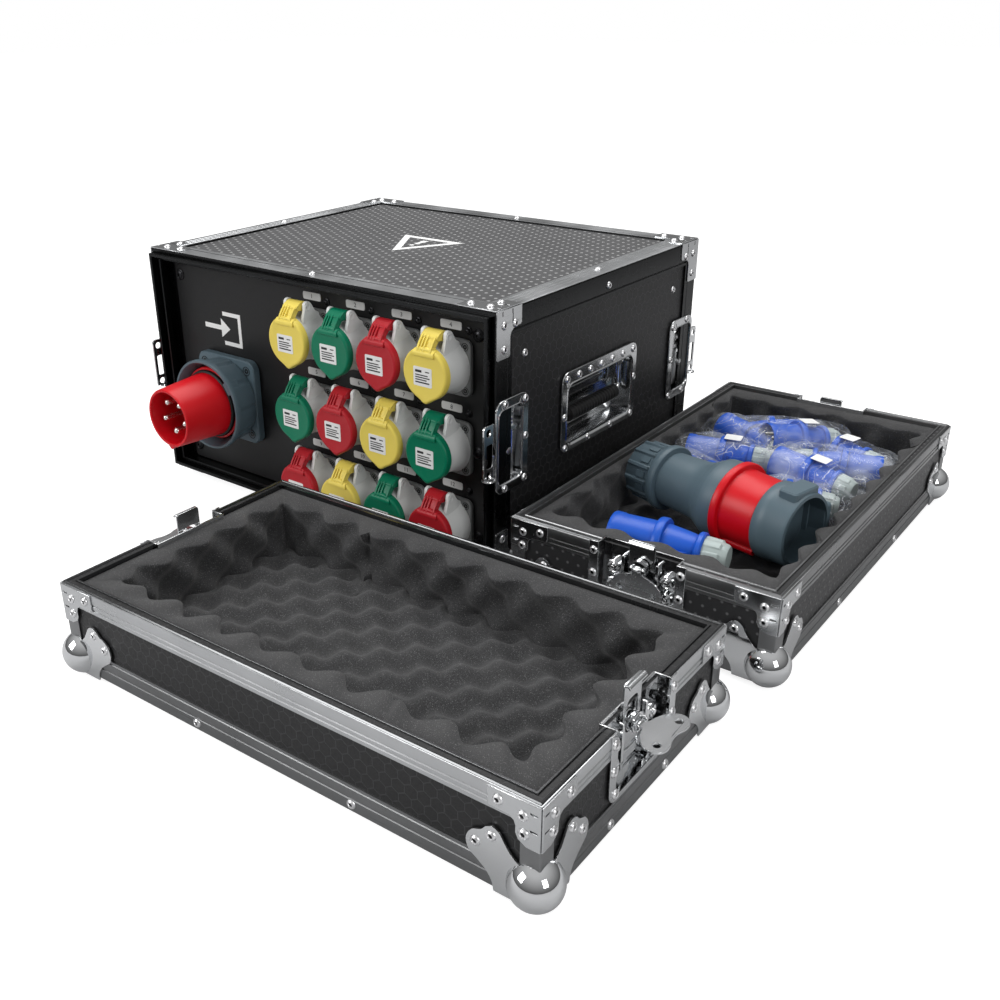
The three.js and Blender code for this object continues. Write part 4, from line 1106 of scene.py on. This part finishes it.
RIM_BRACKET = [(0, 97), (44, 97), (44, 81.5), (42.5, 80), (26, 79.5), (22, 77), (20.5, 73), (20.5, 67),
               (18.5, 62.5), (11, 58), (0, 58)]
RIM_RIVETS = ((35, 88.5), (14.5, 84.5), (13.5, 69.0))
BALL_ARM = [(0, 4), (0, 4), (0, 34.5), (0, 34.5), (9.5, 36.3), (17.5, 39.8), (24.5, 45.8), (29.5, 53),
            (33.4, 59), (38.8, 61.8), (44.6, 59.8), (48.4, 55.6), (51.8, 53.6), (56.6, 51.4), (61, 45.6),
            (62.3, 38), (59.4, 31), (53.5, 26.8), (45.5, 20.5), (40, 13), (38, 4), (38, 4)]
ARM_RIVETS = ((40.2, 53.6), (54, 42.4))
BALL_AT, BALL_RADIUS = np.array((8.0, 8.0, 21.6)), 21.6


def ball():
    """A sphere about the corner's ball centre. Points that would stand in the tray are moved to
    the nearest of its three walls, so that the ball stays inside the corner."""
    down, around = np.linspace(math.pi - 0.06, 0.06, 34), 2 * math.pi * np.arange(56) / 56
    loops = BALL_AT + BALL_RADIUS * np.stack([
        np.sin(down)[:, None] * np.cos(around), np.sin(down)[:, None] * np.sin(around),
        np.cos(down)[:, None] + np.zeros(56),
    ], -1)
    depth = loops - np.array((9.0, 9.0, 14.0))
    inside = (depth > 0).all(-1)
    nearest = np.argmin(depth, -1)
    shift = np.where((np.arange(3) == nearest[..., None]) & inside[..., None], depth, 0)
    return stacked(loops - shift)


def corner_hardware():
    """One corner's ball with its two arms, and its rim bracket, about the lid's first corner."""
    first = facing("front")
    second = matrix_of((0, 0, 0), (0, 1, 0), (0, 0, 1), (-1, 0, 0))
    slots = [[(2.5, z), (8.5, z), (8.5, z + 1.6), (2.5, z + 1.6)] for z in (88.0, 73.0)]
    arms, brackets, rivets = [], [], []
    for face in (first, second):
        arms.append(placed(plate(flowing(BALL_ARM, 4), 0.0, 1.6), face))
        brackets.append(placed(plate(RIM_BRACKET, 0.1, 1.4, slots), face))
        rivets += [face @ shifted(a, b, 1.4) for a, b in RIM_RIVETS + ARM_RIVETS]
    return joined(ball(), *arms), joined(*brackets), rivets


def lid_corners():
    """The corner hardware at all four corners, mirrored about the lid's middle lines."""
    balls, brackets, rivets = [], [], []
    ball_part, bracket_part, rivet_part = corner_hardware()
    for sx in (1, -1):
        for sy in (1, -1):
            to = matrix_of((0 if sx > 0 else LID_LENGTH, 0 if sy > 0 else LID_WIDTH, 0), (sx, 0, 0),
                           (0, sy, 0), (0, 0, 1))
            balls.append(placed(ball_part, to))
            brackets.append(placed(bracket_part, to))
            rivets += [to @ r for r in rivet_part]
    return joined(*balls), joined(*brackets), rivets


def latch_dish():
    """An end wall's latch plate and pan, open at the rim. The frame runs along the wall, up, and
    out of it, from the wall's middle at the floor."""
    rim, foot_z, half = LID_RIM, 33.0, 52.0
    angle = np.linspace(0, math.pi / 2, 6)
    r = 12.0
    left = np.column_stack([-half + r - r * np.cos(angle), foot_z + r - r * np.sin(angle)])
    outer = np.vstack([[(-half, rim)], left, (left * (-1, 1))[::-1], [(half, rim)]])
    q = 8.0
    inner_left = np.column_stack([-LATCH_HALF + q - q * np.cos(angle), 38 + q - q * np.sin(angle)])
    inner = np.vstack([[(-LATCH_HALF, rim)], inner_left, (inner_left * (-1, 1))[::-1], [(LATCH_HALF, rim)]])
    flat = plate(np.vstack([outer, inner[::-1]]), -0.2, 1.2)
    grown = inner + np.column_stack([np.sign(inner[:, 0]) * 1.5, np.where(inner[:, 1] < 50, -1.5, 0)])
    wall = plate(np.vstack([inner, grown[::-1]]), -15.4, 1.0)
    back = plate(np.vstack([grown[[0]], grown[1:-1], grown[[-1]]]), -15.5, -14.0)
    slot = placed(moulding([(34, 9, 3, -14), (33, 8, 3, -12.9)], 3), shifted(0, 45, 0))
    studs = [placed(turned([(8, -14), (7.4, -8), (6, -7), (5, -7.8), (3.2, -8), (2.6, -5), (1.4, -4.4)], 20),
                    shifted(s * 29, z, 0))
             for s in (-1, 1) for z in (53, 72)]
    fences = [placed(moulding([(4, 44, 1.6, -14), (3.4, 43, 1.4, -7)], 3), shifted(s * 18.5, 66, 0))
              for s in (-1, 1)]
    rivets = [shifted(a, b, 1.2) for a, b in ((-47, 89), (47, 89), (-43, 41), (43, 41), (-47, 64), (47, 64))]
    return joined(in_finish(flat, 1), wall, back, slot, *studs, *fences), rivets


def turret():
    """A turned post with a collar and a slotted top, and two lugs that hold the butterfly."""
    post = turned([(9, -13.6), (9, -10.4), (8.2, -10), (8.2, -9), (9, -8.6), (9, -7.6), (8.2, -7.2),
                   (8.2, -6.6), (8.8, -6.2), (8.8, -4.9), (7.8, -4.4), (3, -4.4)], 32)
    lugs = [placed(moulding([(2.3, 7, 1, -7), (2.3, 7, 1, -1.6), (2.0, 4, 1, -0.4)], 3),
                   shifted(s * 6.4, 0, 0)) for s in (-1, 1)]
    pin = placed(turned([(1.2, -8), (1.2, 8)], 10), facing("right", (0, 0, -3)))
    return placed(joined(post, *lugs, pin), shifted(0, LATCH_Z, 0))


def butterfly():
    """A thin plate with two round wings, each with a hole, on a rolled barrel. The frame runs
    along the barrel, and out along the plate."""
    wing = 1.08 * np.array([(-4.4, 0), (-4.8, 4), (-11, 6), (-17.5, 9), (-22.5, 13), (-25.6, 18),
                            (-25.8, 23), (-22.8, 27.6), (-17.5, 29.8), (-11, 29.4), (-5.5, 27.6), (0, 27)])
    outline = flowing(np.vstack([wing, (wing[:-1] * (-1, 1))[::-1]]), 3)
    sheet = plate(outline, -0.95, 0.95, [circle(3.4, (-18.4, 23.4)), circle(3.4, (18.4, 23.4))])
    barrel = placed(turned([(2.0, -4.6), (2.2, -4.2), (2.2, 4.2), (2.0, 4.6)], 16), facing("right"))
    return joined(sheet, barrel)


def hook():
    """A flat strap with a window round the turret, and a rolled lip at its top."""
    window = rounded(19, 31, 6, 4) + (0, 85.4)
    strap = plate(rounded(28, 60, 3, 3) + (0, 88), -12.5, -10.7, [window])
    angle = np.linspace(math.pi, 0, 8)
    roll = [(-12.5 + 3.2 + 3.2 * math.cos(a), 114.4 + 3.2 * math.sin(a)) for a in angle]
    inner = [(-12.5 + 3.2 + 1.7 * math.cos(a), 114.4 + 1.7 * math.sin(a)) for a in angle[::-1]]
    lip = placed(plate(roll + inner, -13.6, 13.6), matrix_of((0, 0, 0), (0, 0, 1), (0, 1, 0), (-1, 0, 0)))
    return joined(strap, lip)


HOOK_TRAVEL = 12.0


def lid(name, place, ends, is_open, finishes):
    """All of a lid's hardware. ends names the latch at the lid's low end and at its high one."""
    body = f"{name}_lid"
    band_finish, channel_finish, base_finish, board_finish = finishes
    piece(f"{name}_lid_profiles", lid_profiles(), place, body, [band_finish, channel_finish, base_finish],
          (f"{name}_lid_shell",))
    piece(f"{name}_lid_boards", lid_boards(), place, body, [board_finish])
    piece(f"{name}_lid_seal", lid_seal(), place, body, [RUBBER])
    balls, brackets, rivets = lid_corners()
    piece(f"{name}_lid_ball_corners", balls, place, body, [CHROME], soften=0.3)
    piece(f"{name}_lid_rim_brackets", brackets, place, body, [STEEL], soften=0.3)
    dishes = []
    for index, end in enumerate(ends):
        x, sign = (LID_LENGTH, 1.0) if index else (0.0, -1.0)
        wall = matrix_of((x, MIDDLE, 0), (0, sign, 0), (0, 0, 1), (sign, 0, 0))
        dish, dish_rivets = latch_dish()
        dishes.append(placed(dish, wall))
        rivets += [wall @ r for r in dish_rivets]
        prefix = f"{name}_lid_{end}"
        piece(f"{prefix}_latch_post", turret(), place @ wall, f"{prefix}_turret", [CHROME],
              (f"{prefix}_turret",))
        if is_open:
            hinge = facing("front", (0, LATCH_Z, -3))
        else:
            hinge = facing("bottom", (0, LATCH_Z, -3))
        piece(f"{prefix}_wings", butterfly(), place @ wall @ hinge, f"{prefix}_butterfly", [STEEL],
              (f"{prefix}_butterfly",), soften=0.25)
        lowered = shifted(0, 0 if is_open else -HOOK_TRAVEL, 0)
        piece(f"{prefix}_strap", hook(), place @ wall @ lowered, f"{prefix}_hook", [STEEL],
              (f"{prefix}_hook",), soften=0.25)
    piece(f"{name}_lid_latch_dishes", joined(*dishes), place, body, [CHROME, STEEL],
          soften=0.3)
    for along in (175.0, 355.0):
        for y, out in ((0.0, -1.0), (LID_WIDTH, 1.0)):
            rivets.append(matrix_of((along, y, 13.0), (-out, 0, 0), (0, 0, 1), (0, out, 0)))
    for across in (100.0, 190.0):
        for x, out in ((0.0, -1.0), (LID_LENGTH, 1.0)):
            rivets.append(matrix_of((x, across, 13.0), (0, out, 0), (0, 0, 1), (out, 0, 0)))
    piece(f"{name}_lid_rivets", copies(RIVET, rivets), place, body, [RIVET_STEEL, DARK_STEEL])


lid("front", FRONT_LID, ("left", "right"), True, (ALUMINIUM, CHANNEL, SHADED_LID_ALUMINIUM, BLACK_BOARD))
lid("rear", REAR_LID, ("front", "back"), False,
    (SHADED_LID_ALUMINIUM, SHADED_LID_ALUMINIUM, SHADED_LID_ALUMINIUM, DOTTED_BOARD))

# ---- Foam -----------------------------------------------------------------------------------

FOAM_INSET, FOAM_BOTTOM, FOAM_TOP = 11.4, 16.4, 94.0
LONG_STEPS, SHORT_STEPS = 132, 62


def rectangle_loop(half_x, half_y):
    """Points round a rectangle, the same count on each side whatever its size."""
    a, b = np.linspace(-1, 1, LONG_STEPS + 1)[:-1], np.linspace(-1, 1, SHORT_STEPS + 1)[:-1]
    return np.vstack([
        np.column_stack([half_x * a, np.full(LONG_STEPS, -half_y)]),
        np.column_stack([np.full(SHORT_STEPS, half_x), half_y * b]),
        np.column_stack([-half_x * a, np.full(LONG_STEPS, half_y)]),
        np.column_stack([np.full(SHORT_STEPS, -half_x), -half_y * b]),
    ])


WALL_PITCH, FLOOR_PITCH = 49.0, (51.0, 50.0)


def foam_tray(wall, end_wall, floor, wave):
    """Convoluted foam as one closed form: outside box, flat top edge, wavy inner walls, and an
    egg-crate floor. A wall stands in or out by a sine along it times a cosine down it. The floor
    is a grid blended between its four edges, whose height is a cosine across times one along."""
    outer_x, outer_y = LID_LENGTH / 2 - FOAM_INSET, LID_WIDTH / 2 - FOAM_INSET
    inner_x, inner_y = outer_x - end_wall + wave, outer_y - wall + wave
    floor_z = FOAM_BOTTOM + floor - wave

    def notched(loop, height):
        """The outside steps in behind a latch's pan."""
        behind = (np.abs(loop[:, 1]) < LATCH_HALF + 2) & (np.abs(loop[:, 0]) > outer_x - 1) & (height > 36)
        x = np.where(behind, np.sign(loop[:, 0]) * (LID_LENGTH / 2 - 17.0), loop[:, 0])
        return raised(np.column_stack([x, loop[:, 1]]), height)

    def waved(height, back=0.0):
        """The inner walls' loop at one height, set back from the hollow at the rim."""
        loop = rectangle_loop(inner_x, inner_y)
        on_long = np.abs(np.abs(loop[:, 1]) - inner_y) < 1e-6
        along = np.where(on_long, loop[:, 0], loop[:, 1])
        reach = np.where(on_long, inner_x, inner_y)
        taper = np.clip((reach - np.abs(along)) / 26, 0, 1)
        phase = np.where(loop[:, 0] + loop[:, 1] > 0, 0.6, 2.4)
        down = np.cos(2 * math.pi * (FOAM_TOP - height) / 56)
        uneven = 1 + 0.25 * np.sin(along / 31.0 + 2 * phase)
        swell = 0.95 * wave * uneven * down * np.sin(2 * math.pi * along / WALL_PITCH + phase)
        push = swell * taper - back
        x = loop[:, 0] - np.where(on_long, 0, np.sign(loop[:, 0]) * push)
        y = loop[:, 1] - np.where(on_long, np.sign(loop[:, 1]) * push, 0)
        return np.column_stack([x, y])

    heights = FOAM_TOP - 1.2 - (FOAM_TOP - 1.2 - floor_z) * np.linspace(0, 1, 15)
    loops = [notched(rectangle_loop(outer_x, outer_y), h) for h in (FOAM_BOTTOM, 35.0, 36.5, FOAM_TOP - 1,
                                                                    FOAM_TOP - 0.2)]
    loops.append(notched(rectangle_loop(outer_x - 1, outer_y - 1), FOAM_TOP))
    loops.append(raised(waved(FOAM_TOP, 1.2), FOAM_TOP))
    loops += [raised(waved(h), h) for h in heights]
    points, faces = stacked(loops)
    sides, rim = faces[0][0], waved(floor_z)

    m, n = LONG_STEPS, SHORT_STEPS
    order = np.full((n + 1, m + 1), -1)
    order[0, :m], order[:n, m] = np.arange(m), m + np.arange(n)
    order[n, m:0:-1], order[n:0:-1, 0] = m + n + np.arange(m), 2 * m + n + np.arange(n)
    edge = rim[order.clip(0)]
    u, v = np.linspace(0, 1, m + 1)[None, :, None], np.linspace(0, 1, n + 1)[:, None, None]
    near, far = (1 - u) * edge[0, 0] + u * edge[0, -1], (1 - u) * edge[-1, 0] + u * edge[-1, -1]
    grid = ((1 - v) * edge[:1] + v * edge[-1:] + (1 - u) * edge[:, :1] + u * edge[:, -1:]
            - (1 - v) * near - v * far)
    fade = np.clip(np.minimum(np.minimum(u, 1 - u) * m, np.minimum(v, 1 - v) * n) / 4, 0, 1)[..., 0]
    x, y = grid[..., 0], grid[..., 1]
    across = np.cos(2 * math.pi * (x / FLOOR_PITCH[0] + 0.05 * np.sin(y / 37)))
    bump = across * np.cos(2 * math.pi * (y / FLOOR_PITCH[1] + 0.05 * np.sin(x / 43)))
    height = floor_z + fade * wave * 0.85 * bump
    inner = order < 0
    base = len(points) - len(rim)
    order = np.where(inner, 0, order + base)
    order[inner] = len(points) + np.arange(inner.sum())
    points = np.vstack([points, np.column_stack([x[inner], y[inner], height[inner]])])
    top = np.stack([order[:-1, :-1], order[:-1, 1:], order[1:, 1:], order[1:, :-1]], -1).reshape(-1, 4)
    under = np.arange(len(rim))[None, ::-1]
    return placed(surface(points, sides, under, top), shifted(LID_LENGTH / 2, LID_WIDTH / 2, 0))


for foam_name, foam_place, foam_sizes in (("front", FRONT_LID, (36, 36, 32, 8.5)),
                                          ("rear", REAR_LID, (17, 34, 26, 5.5))):
    foam = piece(f"{foam_name}_foam_liner", foam_tray(*foam_sizes), foam_place, f"{foam_name}_lid", [FOAM],
                 (f"{foam_name}_lid_foam",), smooth=60)

# ---- Loose connectors -----------------------------------------------------------------------
# Each lies along the second axis of its frame, and its profile is (radius, distance along).

LYING = matrix_of((0, 0, 0), (1, 0, 0), (0, 0, -1), (0, 1, 0))


def spare_connector():
    """A large coupler: a ribbed gland nut, a collar, a long barrel that flares to a ring, a red
    disc and drum with a ridge, and a stepped spring lid at its mouth."""
    def ribs(angle):
        return 2.2 * (np.cos(12 * angle) > 0.8)

    nut = turned([(25, -109.6, 0), (30.0, -109, 0), (31.2, -107, 1), (32.4, -78, 1), (32.6, -76, 0),
                  (33, -70, 0)], 144, False, ribs)
    pads = [placed(moulding([(12, 7, 1, 30), (12, 7, 1, 33.4)], 2), turned_by(k * math.pi / 6 + math.pi / 12)
                   @ matrix_of((0, 0, -86), (0, 0, 1), (0, -1, 0), (1, 0, 0))) for k in range(12)]
    collar = turned([(33, -74), (36.4, -73.6), (37.6, -72), (37.6, -65.6), (36.4, -64), (31, -63.6)], 64,
                    True)
    along = np.linspace(-64, 0, 18)
    flare = 31.0 + 0.04 * (along + 64) + 9.5 / (1 + np.exp(-(along + 8) / 4.2))
    shoulder = [(43.6, 2.5), (44.4, 4.5), (44.8, 12), (44.4, 21.5), (40, 22)]
    barrel = turned([(29, -66)] + list(zip(flare, along)) + shoulder, 64)
    disc = turned([(38, 22), (46.2, 22.2), (47.4, 23.6), (47.4, 29), (46.2, 30.6), (41.6, 31), (40.8, 33),
                   (39.8, 70), (38, 71)], 64)
    ridge = placed(wire([(0, 0, z) for z in (31, 50, 71)], 4.2, (1, 0, 0), 12), shifted(28, 30, 0))
    second = placed(wire([(0, 0, z) for z in (31, 50, 71)], 4.2, (1, 0, 0), 12), shifted(-36, 20, 0))
    cap = turned([(37, 70), (41.0, 71), (42.4, 73), (42.8, 84), (41.6, 86), (40.6, 107), (39.4, 109.6),
                  (36, 110), (36, 84), (30, 84)], 64)
    lid_block = placed(moulding([(36, 30, 4, 34), (36, 30, 4, 44.4), (33, 27, 3, 46)], 4),
                       facing("left", (0, 0, 93)))
    step = placed(moulding([(54, 16, 3, 32), (54, 16, 3, 41.4), (51, 14, 2, 42.6)], 4),
                  facing("left", (0, 0, 82)))
    lid_top = placed(moulding([(40, 22, 4, 34), (40, 22, 4, 43.4), (37, 19, 3, 45)], 4),
                     facing("front", (0, 0, 96)))
    return joined(nut, *pads, collar, barrel, in_finish(joined(disc, ridge, second), 1), cap, lid_block,
                  step, lid_top)


def spare_plug(scale=1.0):
    """A small plug: a sleeve with a lip, a wide ring, a waisted body with finger wings, a second
    ring, and a gland cap with flats."""
    sleeve = turned([(23.4, 12), (23.8, 50), (24.6, 52), (24.8, 60), (24.2, 61.8), (22.8, 62), (22, 60),
                     (22, 42), (20, 41)], 48)
    ring = turned([(22, 3), (27.6, 3.6), (28.6, 5.4), (28.6, 11), (27.8, 12.8), (23, 13.6)], 48, True)
    along = np.linspace(-30, 3.4, 12)
    waist = 17.0 + 5.6 * np.clip((along + 30) / 32, 0, 1) ** 0.8
    body = turned([(15, -34)] + list(zip(waist, along)) + [(20, 4)], 48)
    wings = []
    for angle in (0.25, math.pi - 0.25, math.pi + 0.25, -0.25):
        fin = placed(plate(flowing([(15, -24), (21, -22), (24.2, -16), (26.4, -9), (25.4, -4), (22, -2),
                                    (18, -2)], 3), -1.7, 1.7),
                     turned_by(angle) @ facing("front"))
        wings.append(fin)
    cuff = turned([(16, -37.4), (20.4, -37), (21.8, -35.4), (21.8, -31.4), (20.4, -29.8), (16, -29.4)], 48,
                  True)

    def flats(angle):
        return -1.1 * (np.abs(np.cos(4 * angle)) > 0.86)

    cap = turned([(9, -61.9, 0), (12.6, -62, 0), (14.4, -60, 0), (15.2, -56, 0), (17.6, -54, 1),
                  (18.8, -38, 1), (18, -36.4, 0), (14, -36, 0)],
                 96, False, flats)
    pins = [placed(turned([(2.4, 40), (2.4, 57), (1.2, 58.4)], 12),
                   shifted(11 * math.cos(a), 11 * math.sin(a), 0))
            for a in (math.pi / 2, math.pi * 7 / 6, -math.pi / 6)]
    whole = joined(sleeve, ring, body, cuff, *wings, in_finish(cap, 1), in_finish(joined(*pins), 2))
    return placed(whole, np.diag([scale, scale, scale, 1.0]))


CONNECTOR_PLACE = REAR_LID @ shifted(186, 146, 89) @ turned_by(math.pi - 0.24) @ LYING
PLUG_PLACE = REAR_LID @ shifted(80, 150, 72) @ turned_by(0.14) @ LYING
piece("large_coupler", spare_connector(), CONNECTOR_PLACE, "spare_connector", [INLET_GREY, INLET_RED],
      ("spare_connector",), soften=0.4)
piece("blue_plug", spare_plug(), PLUG_PLACE, "spare_plug", [PLUG_BLUE, PLUG_GREY, NICKEL],
      ("spare_plug",), soften=0.3)

# ---- Bagged plugs ---------------------------------------------------------------------------

BAGGED = (  # lid x, lid y, height, turn, tip
    (276, 96, 66, 0.3, 0.05), (272, 204, 68, -0.35, -0.06), (326, 92, 78, -0.12, 0.10),
    (328, 198, 78, 0.22, 0.0), (380, 84, 74, 0.3, -0.05), (384, 190, 80, -0.3, 0.08),
    (430, 92, 70, -0.25, 0.0), (436, 196, 72, 0.5, 0.04), (404, 138, 88, 0.9, 0.12),
)


def bag(seed, length, width, thick):
    """A pillow of film: an ellipse that opens from one flat seal and closes to the other, with
    sharp creases that are a sum of folded sines of seeded direction, and fluted ends."""
    draw = np.random.default_rng(seed)
    rows, count = 60, 72
    u, angle = np.linspace(-1, 1, rows), 2 * math.pi * np.arange(count) / count
    belly = np.sqrt(np.clip(1 - np.abs(u) ** 4, 0, 1))
    half_w, half_h = width / 2 * (0.8 + 0.2 * belly), 0.6 + thick / 2 * belly
    crease_highlight = np.zeros((rows, count))
    for _ in range(8):
        ku, ka, phase = draw.uniform(-9, 9), draw.integers(2, 9), draw.uniform(0, 6.28)
        crease_highlight += 1 - 2 * np.abs(np.sin((ku * u[:, None] + ka * angle[None] + phase) / 2))
    crease_highlight = 1 + 0.026 * crease_highlight * (1 - u[:, None] ** 8)
    flute = 2.6 * np.sin(9 * np.cos(angle) + draw.uniform(0, 6))[None] * np.abs(u[:, None]) ** 5
    loops = np.stack([half_w[:, None] * np.cos(angle) * crease_highlight,
                      half_h[:, None] * np.sin(angle) * crease_highlight + flute,
                      length / 2 * u[:, None] + np.zeros(count)], -1)
    return stacked(loops)


bag_parts, bagged_parts, bag_labels = [], [], []
for index, (x, y, z, turn, tip) in enumerate(BAGGED):
    flip = math.pi if index % 3 == 1 else 0.0
    rise = matrix_of((0, 0, 0), (1, 0, 0), (0, math.cos(tip), math.sin(tip)),
                     (0, -math.sin(tip), math.cos(tip)))
    at = shifted(x, y, z) @ turned_by(turn + flip) @ rise @ LYING
    bagged_parts.append(placed(spare_plug(0.8), at))
    bag_parts.append(placed(bag(index, 132, 62, 46), at))
    if index in (2, 3, 6, 8):
        bag_labels.append(placed(plate(rounded(17, 20, 1, 1), 23.6, 23.9), at @ facing("front", (0, 0, -4))))
bagged = piece("spare_plugs", joined(*bagged_parts), REAR_LID, "bagged_plugs", [PLUG_BLUE, PLUG_GREY, NICKEL],
               ("bagged_plugs",))
bags = piece("plug_bags", joined(*bag_parts), REAR_LID, "bagged_plugs", [FILM], smooth=80)
bagged.visible_glossy = bags.visible_glossy = False  # keeps their blue out of the case's dark boards
piece("plug_labels", joined(*bag_labels), REAR_LID, "bagged_plugs", [LABEL])

# ---- Camera, light and floor ----------------------------------------------------------------

CAMERA_AT = np.array((1143.6, -851.9, 589.0))
CAMERA_DOWN, CAMERA_TURN, CAMERA_ROLL = 0.44326, 0.67600, -0.01513
fwd = np.array((-math.sin(CAMERA_TURN) * math.cos(CAMERA_DOWN), math.cos(CAMERA_TURN) * math.cos(CAMERA_DOWN),
                -math.sin(CAMERA_DOWN)))
level = np.array((math.cos(CAMERA_TURN), math.sin(CAMERA_TURN), 0.0))
over = np.cross(level, fwd)
side_axis = math.cos(CAMERA_ROLL) * level + math.sin(CAMERA_ROLL) * over
up_axis = -math.sin(CAMERA_ROLL) * level + math.cos(CAMERA_ROLL) * over
camera_data = bpy.data.cameras.new("camera")
camera_data.lens, camera_data.sensor_width = 39.54, 36.0
camera_data.shift_x, camera_data.shift_y = 0.0567, 0.0130
camera_data.clip_start, camera_data.clip_end = 0.01, 50.0
camera = bpy.data.objects.new("camera", camera_data)
bpy.context.scene.collection.objects.link(camera)
seen_from = CASE[:3, 3] + CAMERA_AT
camera.matrix_world = Matrix(matrix_of(seen_from * MM, side_axis, up_axis, -fwd).tolist())
bpy.context.scene.camera = camera

floor_mesh = bpy.data.meshes.new("floor")
floor_mesh.from_pydata([(-12, -12, -0.0005), (12, -12, -0.0005), (12, 12, -0.0005), (-12, 12, -0.0005)], [],
                       [(0, 1, 2, 3)])
floor = bpy.data.objects.new("floor", floor_mesh)
bpy.context.scene.collection.objects.link(floor)
floor_mesh.materials.append(painted("pale floor", (0.4, 0.4, 0.4), 0.86))


def soft_light(name, at, aim, size, power):
    data = bpy.data.lights.new(name, "AREA")
    data.shape, data.size, data.size_y, data.energy = "RECTANGLE", size[0], size[1], power
    made = bpy.data.objects.new(name, data)
    bpy.context.scene.collection.objects.link(made)
    made.location = at
    made.rotation_euler = (Vector(aim) - Vector(at)).to_track_quat("-Z", "Y").to_euler()


soft_light("overhead softbox", (-0.3, 0.6, 2.3), (0, 0, 0.1), (2.2, 1.6), 50)
soft_light("front softbox", (-1.3, -2.3, 1.5), (0, -0.1, 0.15), (1.3, 1.4), 42)
soft_light("right fill", (2.4, -1.0, 1.3), (0.2, 0, 0.1), (0.8, 1.2), 18)

world = bpy.data.worlds.new("studio")
bpy.context.scene.world = world
world.use_nodes = True
sky = world.node_tree
sky.nodes.clear()
height = add(sky, "ShaderNodeSeparateXYZ", (add(sky, "ShaderNodeTexCoord").outputs["Generated"],)).outputs[2]
glow = spread(sky, height, 0.0, 0.9, 0.1, 0.6)
lit = add(sky, "ShaderNodeBackground", {"Strength": glow, "Color": (1, 1, 1, 1)})
seen = add(sky, "ShaderNodeBackground", {"Strength": 1.0, "Color": (1, 1, 1, 1)})
direct = add(sky, "ShaderNodeLightPath").outputs["Is Camera Ray"]
both = add(sky, "ShaderNodeMixShader", (direct, lit.outputs[0], seen.outputs[0]))
add(sky, "ShaderNodeOutputWorld", (both.outputs[0],))
bpy.context.scene.view_settings.view_transform = "Standard"
